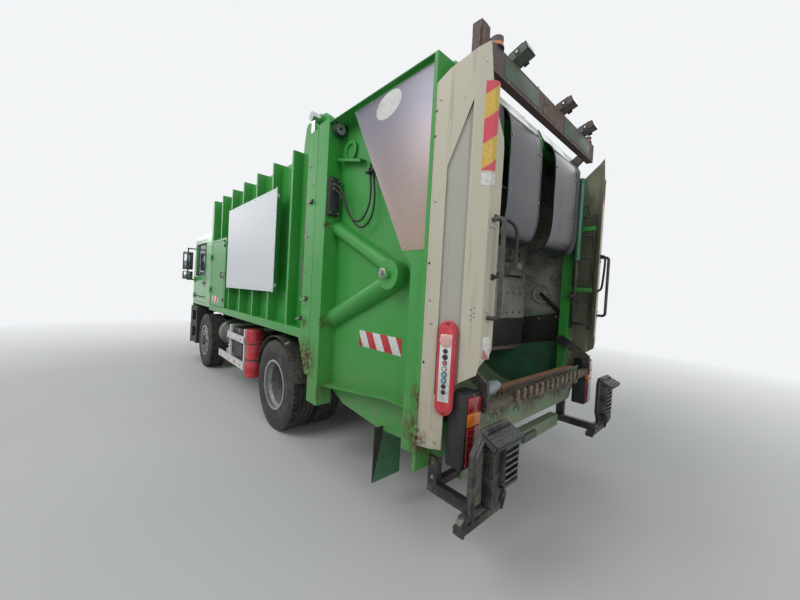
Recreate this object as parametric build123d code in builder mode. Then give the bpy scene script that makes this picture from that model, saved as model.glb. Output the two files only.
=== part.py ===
"""Rear-loading garbage truck on a two-axle chassis, in millimetres.

The front faces -Y, the truck's left side is +X, +Z is up, and the ground is at Z = 0.
The origin is on the ground, under the middle of the whole truck.
"""

import os
from math import acos, atan2, cos, hypot, pi, radians, sin, tan

from build123d import *

os.makedirs("parts", exist_ok=True)

# Clearances
FACE_GAP = 0.3        # between pieces that are seated on each other
PIN_FIT = 0.05        # radial, between a pin and its bore
SIDE_GAP = 1.0        # between a hinge eye and the ears beside it
RUN_GAP = 8.0         # between a door or lid and the opening that it closes

# Wheels and axles
TYRE_R = 540.0
TYRE_W = 313.0
RIM_R = 286.0
RIM_WALL = 9.0
REAR_AXLE_Y = 1030.0
WHEELBASE = 3720.0
FRONT_AXLE_Y = REAR_AXLE_Y - WHEELBASE
FRONT_WHEEL_X = 1045.0
KINGPIN_X = 835.0
KINGPIN_R = 24.0
STUB_R = 42.0
TWIN_OUTER_X = 1083.0
TWIN_PITCH = 352.0
TWIN_INNER_X = TWIN_OUTER_X - TWIN_PITCH
AXLE_TUBE_R = 75.0

# Chassis frame
RAIL_X = 430.0        # outer face of a side rail
RAIL_H = 250.0
RAIL_FLANGE = 80.0
RAIL_WALL = 9.0
FRAME_TOP = 1060.0
FRAME_BOTTOM = FRAME_TOP - RAIL_H
FRAME_FRONT = -3900.0

# Load body
BODY_HALF = 1250.0
FIN_DEPTH = 115.0
FIN_W = 40.0
FIN_PITCH = 570.0
FIN_COUNT = 7
WALL_X = BODY_HALF - FIN_DEPTH      # outer face of the side sheet
SKIN = 5.0
BODY_FRONT = -2180.0
BODY_REAR = 1905.0
POST_LEN = 195.0
POST_FRONT = BODY_REAR - POST_LEN
SILL_BOTTOM = 1210.0
SILL_TOP = 1308.0
FLOOR_TOP = 1224.0
ROOF_TOP = 3240.0
FIN_TOP = 3280.0
HEADER_TOP = 3340.0
SIGN_STAND = 40.0     # from the ribs to a sign panel's inner face
SIGN_X = BODY_HALF + SIGN_STAND

# Tailgate
GATE_FRONT = BODY_REAR + 6.0
RING_LEN = 199.0
RING_REAR = GATE_FRONT + RING_LEN
RING_BOTTOM = 600.0
RING_TOP = 3370.0
GATE_TOP = 3331.0
PANEL_X = BODY_HALF - 160.0      # outer face of the recessed side panel
GATE_WALL = 6.0
RAISED_X = BODY_HALF - 35.0      # outer face of the raised upper rear part of the side
SEAM_Y = 3440.0
SEAM_LEN = 30.0
HINGE_Y = 1450.0
HINGE_Z = 3520.0
LUG_R = 65.0
PIN_R = 28.0
GATE_ARM_X = WALL_X - 80.0       # inner face of each hinge arm
GATE_ARM_W = 40.0
BOSS_Y = 3040.0
BOSS_Z = 1880.0
HOPPER_HALF = PANEL_X - GATE_WALL
LIP_Y = 3700.0
LIP_Z = 1080.0
CLEAR_HALF = PANEL_X - 105.0     # half the clear width between the rear posts

# Packer: a carriage on guides with a blade hinged under it
BLADE_Y = 3000.0
BLADE_Z = 1950.0
PACKER_TRAVEL = 450.0
BLADE_HALF = CLEAR_HALF - 45.0
BLADE_SWEEP_GAP = 36.0   # between the blade's tip and the tub, at the bottom of the travel
PACK_X = 400.0           # packer cylinders, behind the guards
PACK_Y = 3200.0
PACK_BARREL_R = 60.0
PACK_ROD_R = 30.0

# Lift cylinders of the tailgate
LIFT_X = WALL_X + 50.0
LIFT_FOOT_Y = 1630.0
LIFT_FOOT_Z = 1620.0
LIFT_EYE_Y = 1665.0
LIFT_EYE_Z = 3560.0
BARREL_R = 42.0
ROD_R = 24.0
BARREL_LEN = 1420.0

# Cab
CAB_HALF = 1180.0
CAB_SIDE = 55.0       # thickness of a cab side and of a door
CAB_FRONT = -4030.0
CAB_BACK = -2400.0
CAB_FLOOR = 1240.0
CAB_TOP = 2740.0
CAB_SKIN = 6.0
WAIST_Z = 1880.0
TILT_Y = -3950.0
TILT_Z = 985.0
DOOR_FRONT = -3870.0
DOOR_BACK = -2880.0
DOOR_BOTTOM = 1290.0
DOOR_TOP = 2630.0

# Rear steps
STEP_HALF = 200.0
STEP_X = BODY_HALF - 160.0
STEP_Y = 3905.0
STEP_Z = 500.0
STEP_H = 520.0


def box(x, y, z, mode=Mode.ADD):
    """A block between the (low, high) pairs x, y and z."""
    with Locations(((x[0] + x[1]) / 2, (y[0] + y[1]) / 2, (z[0] + z[1]) / 2)):
        Box(x[1] - x[0], y[1] - y[0], z[1] - z[0], mode=mode)


def side_plate(outline, x, mode=Mode.ADD):
    """A plate with an outline of (y, z) points, between the (low, high) pair x."""
    with BuildSketch(Plane.YZ.offset(x[0])) as profile:
        with BuildLine():
            Polyline(*outline, close=True)
        make_face()
    extrude(profile.sketch, amount=x[1] - x[0], mode=mode)


def cross_plate(outline, y, mode=Mode.ADD):
    """A plate with an outline of (x, z) points, between the (low, high) pair y."""
    with BuildSketch(Plane.XZ.offset(-y[0])) as profile:
        with BuildLine():
            Polyline(*outline, close=True)
        make_face()
    extrude(profile.sketch, amount=-(y[1] - y[0]), mode=mode)


def flat_plate(outline, z, mode=Mode.ADD):
    """A plate with an outline of (x, y) points, between the (low, high) pair z."""
    with BuildSketch(Plane.XY.offset(z[0])) as profile:
        with BuildLine():
            Polyline(*outline, close=True)
        make_face()
    extrude(profile.sketch, amount=z[1] - z[0], mode=mode)


def bar(start, end, radius, mode=Mode.ADD):
    """A round bar from one (x, y, z) point to another."""
    run = Vector(*end) - Vector(*start)
    with BuildSketch(Plane(origin=start, z_dir=run)) as section:
        Circle(radius)
    extrude(section.sketch, amount=run.length, mode=mode)


def pin_x(y, z, x, radius, mode=Mode.ADD):
    """A round pin or bore along X at (y, z), between the (low, high) pair x."""
    bar((x[0], y, z), (x[1], y, z), radius, mode=mode)


def pin_z(x, y, z, radius, mode=Mode.ADD):
    """A round pin or bore along Z at (x, y), between the (low, high) pair z."""
    bar((x, y, z[0]), (x, y, z[1]), radius, mode=mode)


def bent_sheet(path, wall):
    """Both sides of a sheet that follows the path, with its thickness to the left of it."""
    inner = []
    for here in range(len(path)):
        before = path[max(here - 1, 0)]
        after = path[min(here + 1, len(path) - 1)]
        point = path[here]
        turn_in = atan2(point[1] - before[1], point[0] - before[0]) if here else None
        turn_out = atan2(after[1] - point[1], after[0] - point[0]) if here < len(path) - 1 else None
        first = turn_out if turn_in is None else turn_in
        last = turn_in if turn_out is None else turn_out
        half = (last - first) / 2
        normal = first + half + radians(90)
        reach = wall / cos(half)
        inner.append((point[0] + reach * cos(normal), point[1] + reach * sin(normal)))
    return list(path) + inner[::-1]


def keep(builder, name):
    """Labels a finished piece and writes it."""
    builder.part.label = name
    export_step(builder.part, f"parts/{name}.step")


# Chassis frame: two channel rails, cross members, bumper carriers and the cab's tilt brackets
CROSS_MEMBER_Y = (-3700.0, -1250.0, -300.0, 560.0, 1560.0)
TILT_EAR_X = 470.0
TILT_EAR_W = 30.0
rail_profile = [
    (RAIL_X, FRAME_BOTTOM), (RAIL_X, FRAME_TOP), (RAIL_X - RAIL_FLANGE, FRAME_TOP),
    (RAIL_X - RAIL_FLANGE, FRAME_TOP - RAIL_WALL), (RAIL_X - RAIL_WALL, FRAME_TOP - RAIL_WALL),
    (RAIL_X - RAIL_WALL, FRAME_BOTTOM + RAIL_WALL), (RAIL_X - RAIL_FLANGE, FRAME_BOTTOM + RAIL_WALL),
    (RAIL_X - RAIL_FLANGE, FRAME_BOTTOM),
]
with BuildPart() as chassis_frame:
    cross_plate(rail_profile, (FRAME_FRONT, BODY_REAR - RUN_GAP))
    for ear_x in (TILT_EAR_X, TILT_EAR_X + 2 * TILT_EAR_W + 2 * SIDE_GAP):
        side_plate(
            [(FRAME_FRONT, FRAME_BOTTOM + 40), (FRAME_FRONT + 200, FRAME_BOTTOM + 40),
             (TILT_Y + 45, TILT_Z + 45), (TILT_Y - 45, TILT_Z + 45)],
            (ear_x - TILT_EAR_W / 2, ear_x + TILT_EAR_W / 2),
        )
    box((RAIL_X - RAIL_WALL, TILT_EAR_X + 2.5 * TILT_EAR_W + 2 * SIDE_GAP),
        (FRAME_FRONT, FRAME_FRONT + 200), (FRAME_BOTTOM, FRAME_BOTTOM + 60))
    pin_x(TILT_Y, TILT_Z, (TILT_EAR_X, TILT_EAR_X + 2 * TILT_EAR_W + 2 * SIDE_GAP), PIN_R)
    mirror(about=Plane.YZ)
    for member_y in CROSS_MEMBER_Y:
        box((-RAIL_X + RAIL_WALL / 2, RAIL_X - RAIL_WALL / 2), (member_y - 35, member_y + 35),
            (FRAME_BOTTOM + 90, FRAME_TOP - RAIL_WALL - 20))
keep(chassis_frame, "chassis_frame")

# Engine, as one plain block with its gearbox
ENGINE_FRONT = -3600.0
ENGINE_BACK = -2450.0
GEARBOX_BACK = -1750.0
ENGINE_HALF = 330.0
with BuildPart() as engine_block:
    box((-ENGINE_HALF, ENGINE_HALF), (ENGINE_FRONT, ENGINE_BACK), (640, CAB_FLOOR - 20))
    box((-220, 220), (ENGINE_BACK, GEARBOX_BACK), (700, FRAME_TOP))
    for foot_y in (ENGINE_FRONT + 200, ENGINE_BACK - 200):
        box((-RAIL_X + RAIL_WALL + FACE_GAP, RAIL_X - RAIL_WALL - FACE_GAP), (foot_y - 50, foot_y + 50),
            (FRAME_BOTTOM + 80, FRAME_BOTTOM + 160))
keep(engine_block, "engine_block")

# Front axle: dropped beam with an eye for each kingpin, and its leaf springs
EYE_R = 46.0
EYE_H = 120.0
SPRING_W = 80.0
SPRING_X = RAIL_X - RAIL_FLANGE / 2
BEAM_TOP = TYRE_R - 20.0
with BuildPart() as front_axle:
    cross_plate(
        [(KINGPIN_X - 105, TYRE_R - EYE_H / 2), (KINGPIN_X, TYRE_R - EYE_H / 2),
         (KINGPIN_X, TYRE_R + EYE_H / 2), (KINGPIN_X - 60, TYRE_R + EYE_H / 2),
         (SPRING_X + 90, BEAM_TOP), (0, BEAM_TOP), (0, BEAM_TOP - 95), (SPRING_X + 100, BEAM_TOP - 95)],
        (FRONT_AXLE_Y - 45, FRONT_AXLE_Y + 45),
    )
    pin_z(KINGPIN_X, FRONT_AXLE_Y, (TYRE_R - EYE_H / 2, TYRE_R + EYE_H / 2), EYE_R)
    pin_z(KINGPIN_X, FRONT_AXLE_Y, (TYRE_R - EYE_H, TYRE_R + EYE_H), KINGPIN_R + PIN_FIT, Mode.SUBTRACT)
    mirror(about=Plane.YZ)
keep(front_axle, "front_axle")


def leaf_pack(axle_y, seat_z, half_len):
    """Spring leaves, their clamp and the two hangers under the rail, on the truck's left."""
    x = (SPRING_X - SPRING_W / 2, SPRING_X + SPRING_W / 2)
    eye_z = FRAME_BOTTOM - 70
    side_plate(
        [(axle_y - half_len, eye_z - 12), (axle_y - half_len / 2, seat_z + 20), (axle_y - 90, seat_z),
         (axle_y + 90, seat_z), (axle_y + half_len / 2, seat_z + 20), (axle_y + half_len, eye_z - 12),
         (axle_y + half_len, eye_z + 12), (axle_y + half_len / 2, seat_z + 75), (axle_y + 90, seat_z + 90),
         (axle_y - 90, seat_z + 90), (axle_y - half_len / 2, seat_z + 75), (axle_y - half_len, eye_z + 12)],
        x,
    )
    box((x[0] - 12, x[1] + 12), (axle_y - 80, axle_y + 80), (seat_z + 90, seat_z + 108))
    for end in (axle_y - half_len, axle_y + half_len):
        pin_x(end, eye_z, (x[0] + 4, x[1] - 4), 30)
        side_plate(
            [(end - 35, eye_z - 30), (end + 35, eye_z - 30), (end + 60, FRAME_BOTTOM - FACE_GAP),
             (end - 60, FRAME_BOTTOM - FACE_GAP)],
            (x[0] + 4, x[1] - 4),
        )


# Rear axle: banjo housing with its spring seats, hubs' spindles and the propeller shaft
SPINDLE_END = 1000.0
REAR_HUB_IN = 566.0
DIFF_R = 215.0
SHAFT_R = 55.0
SHAFT_Z = FRAME_TOP - 190.0
with BuildPart() as rear_axle:
    pin_x(REAR_AXLE_Y, TYRE_R, (-REAR_HUB_IN, REAR_HUB_IN), AXLE_TUBE_R)
    with Locations((0, REAR_AXLE_Y, TYRE_R)):
        Sphere(DIFF_R)
    bar((0, REAR_AXLE_Y - 120, TYRE_R + 5), (0, REAR_AXLE_Y - 330, TYRE_R + 40), 90)
    pin_x(REAR_AXLE_Y, TYRE_R, (-SPINDLE_END, SPINDLE_END), STUB_R)
    for seat_side in (-1, 1):
        box((seat_side * SPRING_X - 50, seat_side * SPRING_X + 50), (REAR_AXLE_Y - 90, REAR_AXLE_Y + 90),
            (TYRE_R + AXLE_TUBE_R - 40, TYRE_R + AXLE_TUBE_R + 20))
    bar((0, REAR_AXLE_Y - 310, TYRE_R + 37), (0, GEARBOX_BACK + 30, SHAFT_Z), SHAFT_R)
    bar((0, GEARBOX_BACK + 60, SHAFT_Z), (0, GEARBOX_BACK + FACE_GAP, SHAFT_Z), SHAFT_R + 15)
keep(rear_axle, "rear_axle")

with BuildPart() as leaf_springs:
    leaf_pack(FRONT_AXLE_Y, BEAM_TOP + FACE_GAP, 780)
    leaf_pack(REAR_AXLE_Y, TYRE_R + AXLE_TUBE_R + 20 + FACE_GAP, 700)
    mirror(about=Plane.YZ)
keep(leaf_springs, "leaf_springs")

# Steering knuckles, each with its kingpin, stub axle and steering arm
ARM_LEN = 230.0
EAR_IN = EYE_H / 2 + SIDE_GAP
EAR_OUT = EAR_IN + 36.0
ARM_Z = (TYRE_R - EAR_OUT, TYRE_R - EAR_IN)
TRACK_Z = (ARM_Z[0] - SIDE_GAP - 44, ARM_Z[0] - SIDE_GAP)
TRACK_PIN_R = 14.0
FRONT_HUB_IN = 905.0
STUB_END = 1125.0


def knuckle(side):
    """The knuckle on the side given, +1 for the truck's left."""
    x = KINGPIN_X * side
    ears = (ARM_Z, (TYRE_R + EAR_IN, TYRE_R + EAR_OUT))
    face = KINGPIN_X + EYE_R + 4
    for ear in ears:
        pin_z(x, FRONT_AXLE_Y, ear, EYE_R)
        box(sorted((x, side * face)), (FRONT_AXLE_Y - 40, FRONT_AXLE_Y + 40), ear)
    pin_z(x, FRONT_AXLE_Y, (TYRE_R - EAR_OUT, TYRE_R + EAR_OUT), KINGPIN_R)
    box(sorted((side * face, side * (face + 16))), (FRONT_AXLE_Y - 75, FRONT_AXLE_Y + 75),
        (TYRE_R - EAR_OUT, TYRE_R + EAR_OUT))
    pin_x(FRONT_AXLE_Y, TYRE_R, sorted((side * face, side * STUB_END)), STUB_R)
    box((x - 22, x + 22), (FRONT_AXLE_Y + 20, FRONT_AXLE_Y + ARM_LEN), ARM_Z)
    pin_z(x, FRONT_AXLE_Y + ARM_LEN, ARM_Z, 26)
    pin_z(x, FRONT_AXLE_Y + ARM_LEN, (TRACK_Z[0] - 8, ARM_Z[1]), TRACK_PIN_R)


with BuildPart() as knuckle_left:
    knuckle(1)
keep(knuckle_left, "knuckle_left")
with BuildPart() as knuckle_right:
    knuckle(-1)
keep(knuckle_right, "knuckle_right")

# Track rod between the two steering arms
with BuildPart() as track_rod:
    pin_x(FRONT_AXLE_Y + ARM_LEN, sum(TRACK_Z) / 2, (-KINGPIN_X, KINGPIN_X), 17)
    for eye_x in (-KINGPIN_X, KINGPIN_X):
        pin_z(eye_x, FRONT_AXLE_Y + ARM_LEN, TRACK_Z, 30)
    for eye_x in (-KINGPIN_X, KINGPIN_X):
        pin_z(eye_x, FRONT_AXLE_Y + ARM_LEN, (TRACK_Z[0] - 10, TRACK_Z[1] + 10), TRACK_PIN_R + PIN_FIT,
              Mode.SUBTRACT)
keep(track_rod, "track_rod")

# Tyres: half profiles of (distance from the wheel's middle plane, radius)
half_w = TYRE_W / 2
bead_w = half_w - 22
tyre_profile = [
    (-bead_w, RIM_R + FACE_GAP), (-half_w + 3, RIM_R + 60), (-half_w, RIM_R + 130),
    (-half_w + 10, TYRE_R - 48), (-half_w + 28, TYRE_R - 10), (-half_w + 62, TYRE_R),
    (half_w - 62, TYRE_R), (half_w - 28, TYRE_R - 10), (half_w - 10, TYRE_R - 48),
    (half_w, RIM_R + 130), (half_w - 3, RIM_R + 60), (bead_w, RIM_R + FACE_GAP),
]


def turned(profile, wheel_x, wheel_y):
    """A ring with a profile of (x, radius) points, turned about the axle at (wheel_x, wheel_y)."""
    with BuildSketch(Plane.XZ.offset(-wheel_y)) as section:
        with BuildLine():
            Polyline(*[(wheel_x + x, TYRE_R + radius) for x, radius in profile], close=True)
        make_face()
    revolve(section.sketch, axis=Axis((wheel_x, wheel_y, TYRE_R), (1, 0, 0)))


def rim(wheel_x, wheel_y, side, face, dish, hub):
    """A wheel rim with a dished disc: face is the outer plane of its flat middle, measured outwards
    from the rim's middle, and dish is how far the disc leans back from there to the rim.

    The hub is a (low, high, radius) triple along the axle, measured outwards from the truck's middle.
    """
    lip = bead_w + 7
    half = [(lip + 8, RIM_R - RIM_WALL), (lip + 8, RIM_R + 14), (lip, RIM_R + 14), (lip, RIM_R),
            (bead_w - 26, RIM_R), (bead_w - 58, RIM_R - 22)]
    under = [(bead_w - 60, RIM_R - 22 - RIM_WALL), (bead_w - 28, RIM_R - RIM_WALL)]
    barrel = half + [(-x, r) for x, r in half[::-1]] + [(-x, r) for x, r in under[::-1]] + under
    turned(barrel, side * wheel_x, wheel_y)
    edge_r = RIM_R - RIM_WALL + 2
    disc = [(face, 0), (face, DISC_FLAT_R), (face - dish, edge_r), (face - dish - DISC_WALL, edge_r),
            (face - DISC_WALL, DISC_FLAT_R), (face - DISC_WALL, 0)]
    turned([(side * x, r) for x, r in disc], side * wheel_x, wheel_y)
    pin_x(wheel_y, TYRE_R, sorted((side * hub[0], side * hub[1])), hub[2])


HUB_HOLES = 10
HUB_R = 112.0
DISC_FLAT_R = 185.0
DISC_WALL = 12.0
DISC_EDGE_X = 118.0      # where a disc meets its rim, from the rim's middle
FRONT_FACE = 158.0
HAND_HOLE_CIRCLE = 228.0
HAND_HOLE_R = 24.0


def finish_wheel(wheel_y, side, span):
    """Cuts the hand holes through the discs between the (low, high) pair span, measured outwards."""
    near = sorted((side * span[0], side * span[1]))
    with BuildSketch(Plane.YZ.offset(near[0])) as holes:
        with Locations((wheel_y, TYRE_R)):
            with PolarLocations(HAND_HOLE_CIRCLE, HUB_HOLES):
                Circle(HAND_HOLE_R)
    extrude(holes.sketch, amount=near[1] - near[0], mode=Mode.SUBTRACT)


# Front wheels: (node ending, side)
for ending, side in (("left", 1), ("right", -1)):
    with BuildPart() as front_tyre:
        turned(tyre_profile, side * FRONT_WHEEL_X, FRONT_AXLE_Y)
    keep(front_tyre, f"tyre_front_{ending}")
    with BuildPart() as front_rim:
        rim(FRONT_WHEEL_X, FRONT_AXLE_Y, side, FRONT_FACE, FRONT_FACE - DISC_EDGE_X,
            (FRONT_HUB_IN, STUB_END + 80, HUB_R))
        drum = sorted((side * FRONT_HUB_IN, side * (FRONT_WHEEL_X + FRONT_FACE - 1)))
        pin_x(FRONT_AXLE_Y, TYRE_R, drum, DISC_FLAT_R - 20)
        finish_wheel(FRONT_AXLE_Y, side, (FRONT_WHEEL_X + 60, FRONT_WHEEL_X + FRONT_FACE + 1))
        pin_x(FRONT_AXLE_Y, TYRE_R, sorted((side * (FRONT_HUB_IN - 1), side * (STUB_END + 2))),
              STUB_R + PIN_FIT, Mode.SUBTRACT)
    keep(front_rim, f"rim_front_{ending}")

# Twin rear wheels: both discs meet in the middle between the two tyres
TWIN_MID_X = (TWIN_OUTER_X + TWIN_INNER_X) / 2
for ending, side in (("left", 1), ("right", -1)):
    with BuildPart() as rear_tyres:
        for wheel_x in (TWIN_INNER_X, TWIN_OUTER_X):
            turned(tyre_profile, side * wheel_x, REAR_AXLE_Y)
    keep(rear_tyres, f"tyres_rear_{ending}")
    with BuildPart() as rear_rims:
        face = TWIN_PITCH / 2
        dish = face - DISC_EDGE_X
        rim(TWIN_OUTER_X, REAR_AXLE_Y, side, DISC_WALL - face, -dish,
            (REAR_HUB_IN + SIDE_GAP, SPINDLE_END + 40, HUB_R))
        rim(TWIN_INNER_X, REAR_AXLE_Y, side, face, dish,
            (REAR_HUB_IN + SIDE_GAP, TWIN_MID_X, DISC_FLAT_R - 20))
        finish_wheel(REAR_AXLE_Y, side, (TWIN_MID_X - 80, TWIN_MID_X + 80))
        pin_x(REAR_AXLE_Y, TYRE_R, sorted((side * REAR_HUB_IN, side * (SPINDLE_END + 2))),
              STUB_R + PIN_FIT, Mode.SUBTRACT)
    keep(rear_rims, f"rims_rear_{ending}")

# Tanks and boxes on the rails: a round silencer and battery box left, a fuel tank and air tank right
BRACKET_Z = (FRAME_BOTTOM + 60, FRAME_BOTTOM + 110)
TANK_FRONT = FRONT_AXLE_Y + TYRE_R + 190.0
TANK_OUT = BODY_HALF - 130.0      # outer face of the battery box and the fuel tank
SILENCER = (RAIL_X + 460.0, TANK_OUT - 320.0)      # (x, z) of its middle line
SILENCER_R = 235.0
SILENCER_BACK = -1200.0
BATTERY_Y = (SILENCER_BACK + 70.0, -560.0)
FUEL_BACK = -760.0
AIR_X = RAIL_X + 370.0
AIR_Y = (FUEL_BACK + 70.0, 0.0)
with BuildPart() as side_tanks:
    bar((SILENCER[0], TANK_FRONT, SILENCER[1]), (SILENCER[0], SILENCER_BACK, SILENCER[1]), SILENCER_R)
    box((RAIL_X + 210, TANK_OUT), BATTERY_Y, (560, 1010))
    box((-TANK_OUT, -RAIL_X - 130), (TANK_FRONT, FUEL_BACK), (520, 1000))
    fillet(side_tanks.edges().filter_by(Axis.Y).group_by(Axis.X)[0], 90)
    bar((-AIR_X, AIR_Y[0], 760), (-AIR_X, AIR_Y[1], 760), 135)
    for bracket_y in (TANK_FRONT + 160, SILENCER_BACK - 150, BATTERY_Y[0] + 230, BATTERY_Y[1] - 90):
        box((RAIL_X + FACE_GAP, RAIL_X + 270), (bracket_y - 25, bracket_y + 25), BRACKET_Z)
    for bracket_y in (TANK_FRONT + 160, FUEL_BACK - 140, AIR_Y[0] + 190, AIR_Y[1] - 150):
        box((-RAIL_X - 330, -RAIL_X - FACE_GAP), (bracket_y - 25, bracket_y + 25), BRACKET_Z)
keep(side_tanks, "side_tanks")

# Side guards: rails as (low z, high z, front y, back y)
GUARD_X = BODY_HALF - 60.0
GUARD_RAILS = ((830.0, 930.0, -1110.0, -290.0), (430.0, 540.0, -1620.0, -260.0))
GUARD_POSTS = (-1060.0, -340.0)
with BuildPart() as side_guards:
    for low, high, front, back in GUARD_RAILS:
        box((GUARD_X - 28, GUARD_X), (front, back), (low, high))
    for post_y in GUARD_POSTS:
        box((GUARD_X - 58, GUARD_X - 28), (post_y - 30, post_y + 30), (430, 1045))
        box((RAIL_X + FACE_GAP, GUARD_X - 28), (post_y - 30, post_y + 30), (1012, 1045))
        box((RAIL_X + FACE_GAP, RAIL_X + 12), (post_y - 30, post_y + 30), (FRAME_BOTTOM + 130, 1045))
    mirror(about=Plane.YZ)
keep(side_guards, "side_guards")

# Upright round box for the fire extinguisher, left only
BOTTLE_X = BODY_HALF - 155.0
BOTTLE_Y = -70.0
BOTTLE_R = 125.0
BOTTLE_Z = (370.0, FRAME_TOP + 20.0)
with BuildPart() as extinguisher_box:
    pin_z(BOTTLE_X, BOTTLE_Y, BOTTLE_Z, BOTTLE_R)
    box((BOTTLE_X - 50, BOTTLE_X + 50), (BOTTLE_Y - BOTTLE_R, BOTTLE_Y - 50), (700, 800))
    box((RAIL_X + FACE_GAP, BOTTLE_X), (BOTTLE_Y - 30, BOTTLE_Y + 30), BRACKET_Z)
keep(extinguisher_box, "extinguisher_box")

# Rear mudguards: an arc over each twin wheel, hung from the rail
GUARD_R = 585.0
GUARD_WALL = 8.0
with BuildPart() as rear_mudguards:
    with BuildSketch(Plane.YZ.offset(TWIN_INNER_X - TYRE_W / 2 - 10)) as arc:
        with Locations((REAR_AXLE_Y, TYRE_R)):
            Circle(GUARD_R + GUARD_WALL)
            Circle(GUARD_R, mode=Mode.SUBTRACT)
        with Locations((REAR_AXLE_Y, TYRE_R - GUARD_R + 140)):
            Rectangle(3 * GUARD_R, 2 * GUARD_R, mode=Mode.SUBTRACT)
    extrude(arc.sketch, amount=BODY_HALF - 15 - (TWIN_INNER_X - TYRE_W / 2 - 10))
    for stay_y in (REAR_AXLE_Y - 330, REAR_AXLE_Y + 330):
        box((RAIL_X + FACE_GAP, TWIN_INNER_X - TYRE_W / 2 + 40), (stay_y - 25, stay_y + 25),
            (TYRE_R + GUARD_R - 120, TYRE_R + GUARD_R - 80))
    mirror(about=Plane.YZ)
keep(rear_mudguards, "rear_mudguards")

# Front bumper with the step wells behind its corners
BUMPER_FRONT = -4060.0
WELL_FRONT = BUMPER_FRONT + 150.0
WELL_BACK = FRONT_AXLE_Y - TYRE_R - 80.0
WELL_LEN = WELL_BACK - BUMPER_FRONT
tread_y = (BUMPER_FRONT + 0.44 * WELL_LEN, WELL_BACK - 0.12 * WELL_LEN)
well_mid = (WELL_FRONT + WELL_BACK) / 2
HEADLAMP_X = (700.0, BODY_HALF - 170.0)      # recess for a headlamp
HEADLAMP_Z = (560.0, 720.0)
TOW_X = 300.0        # socket for the towing eye
TOW_Z = 500.0
TOW_R = 20.0
TOW_DEPTH = 120.0
with BuildPart() as front_bumper:
    flat_plate([(-BODY_HALF + 20, BUMPER_FRONT + 120), (-BODY_HALF + 170, BUMPER_FRONT),
                (BODY_HALF - 170, BUMPER_FRONT), (BODY_HALF - 20, BUMPER_FRONT + 120),
                (BODY_HALF - 20, BUMPER_FRONT + 160), (-BODY_HALF + 20, BUMPER_FRONT + 160)], (340, 780))
    for side in (-1, 1):
        box(sorted((side * 900, side * (BODY_HALF - 20))), (WELL_FRONT, WELL_BACK), (380, 1180))
        for tread_z in (500, 860):
            box(sorted((side * (BODY_HALF - 210), side * BODY_HALF)), tread_y, (tread_z, tread_z + 230),
                mode=Mode.SUBTRACT)
        box(sorted((side * (RAIL_X + FACE_GAP), side * 920)), (well_mid - 50, well_mid + 50),
            (FRAME_BOTTOM + 70, FRAME_BOTTOM + 150))
        box(sorted((side * (RAIL_X - 70), side * RAIL_X)), (WELL_FRONT, FRAME_FRONT - FACE_GAP), (600, 775))
    for side in (-1, 1):
        box(sorted((side * HEADLAMP_X[0], side * HEADLAMP_X[1])), (BUMPER_FRONT - 5, BUMPER_FRONT + 30),
            HEADLAMP_Z, mode=Mode.SUBTRACT)
    bar((TOW_X, BUMPER_FRONT - 1, TOW_Z), (TOW_X, BUMPER_FRONT + TOW_DEPTH, TOW_Z), TOW_R, mode=Mode.SUBTRACT)
keep(front_bumper, "front_bumper")

# Body floor: sheet, sills, long bearers on the rails and cross bearers
with BuildPart() as body_floor:
    box((-WALL_X + SKIN + FACE_GAP, WALL_X - SKIN - FACE_GAP),
        (BODY_FRONT + SKIN + FACE_GAP, POST_FRONT - FACE_GAP), (FLOOR_TOP - 8, FLOOR_TOP))
    for side in (-1, 1):
        box(sorted((side * (RAIL_X - RAIL_FLANGE), side * RAIL_X)), (BODY_FRONT + 20, POST_FRONT - FACE_GAP),
            (FRAME_TOP + FACE_GAP, FLOOR_TOP - 8))
    for bearer in range(FIN_COUNT):
        bearer_y = BODY_FRONT + 120 + bearer * FIN_PITCH
        box((-WALL_X + 20, WALL_X - 20), (bearer_y - 30, bearer_y + 30), (SILL_BOTTOM - 30, FLOOR_TOP - 8))
keep(body_floor, "body_floor")

# Body side walls: sheet, sill channel and fins; the left one has the service opening
fin_ys = [POST_FRONT - 380 - n * FIN_PITCH for n in range(FIN_COUNT)]
LOCKER_FRONT = -2080.0
LOCKER_BACK = -1230.0
LOCKER_TOP = 2470.0
sill_profile = [
    (WALL_X, SILL_BOTTOM), (BODY_HALF, SILL_BOTTOM), (BODY_HALF, SILL_TOP), (WALL_X, SILL_TOP),
    (WALL_X, SILL_TOP - 8), (BODY_HALF - 8, SILL_TOP - 8), (BODY_HALF - 8, SILL_BOTTOM + 8),
    (WALL_X, SILL_BOTTOM + 8),
]


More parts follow.
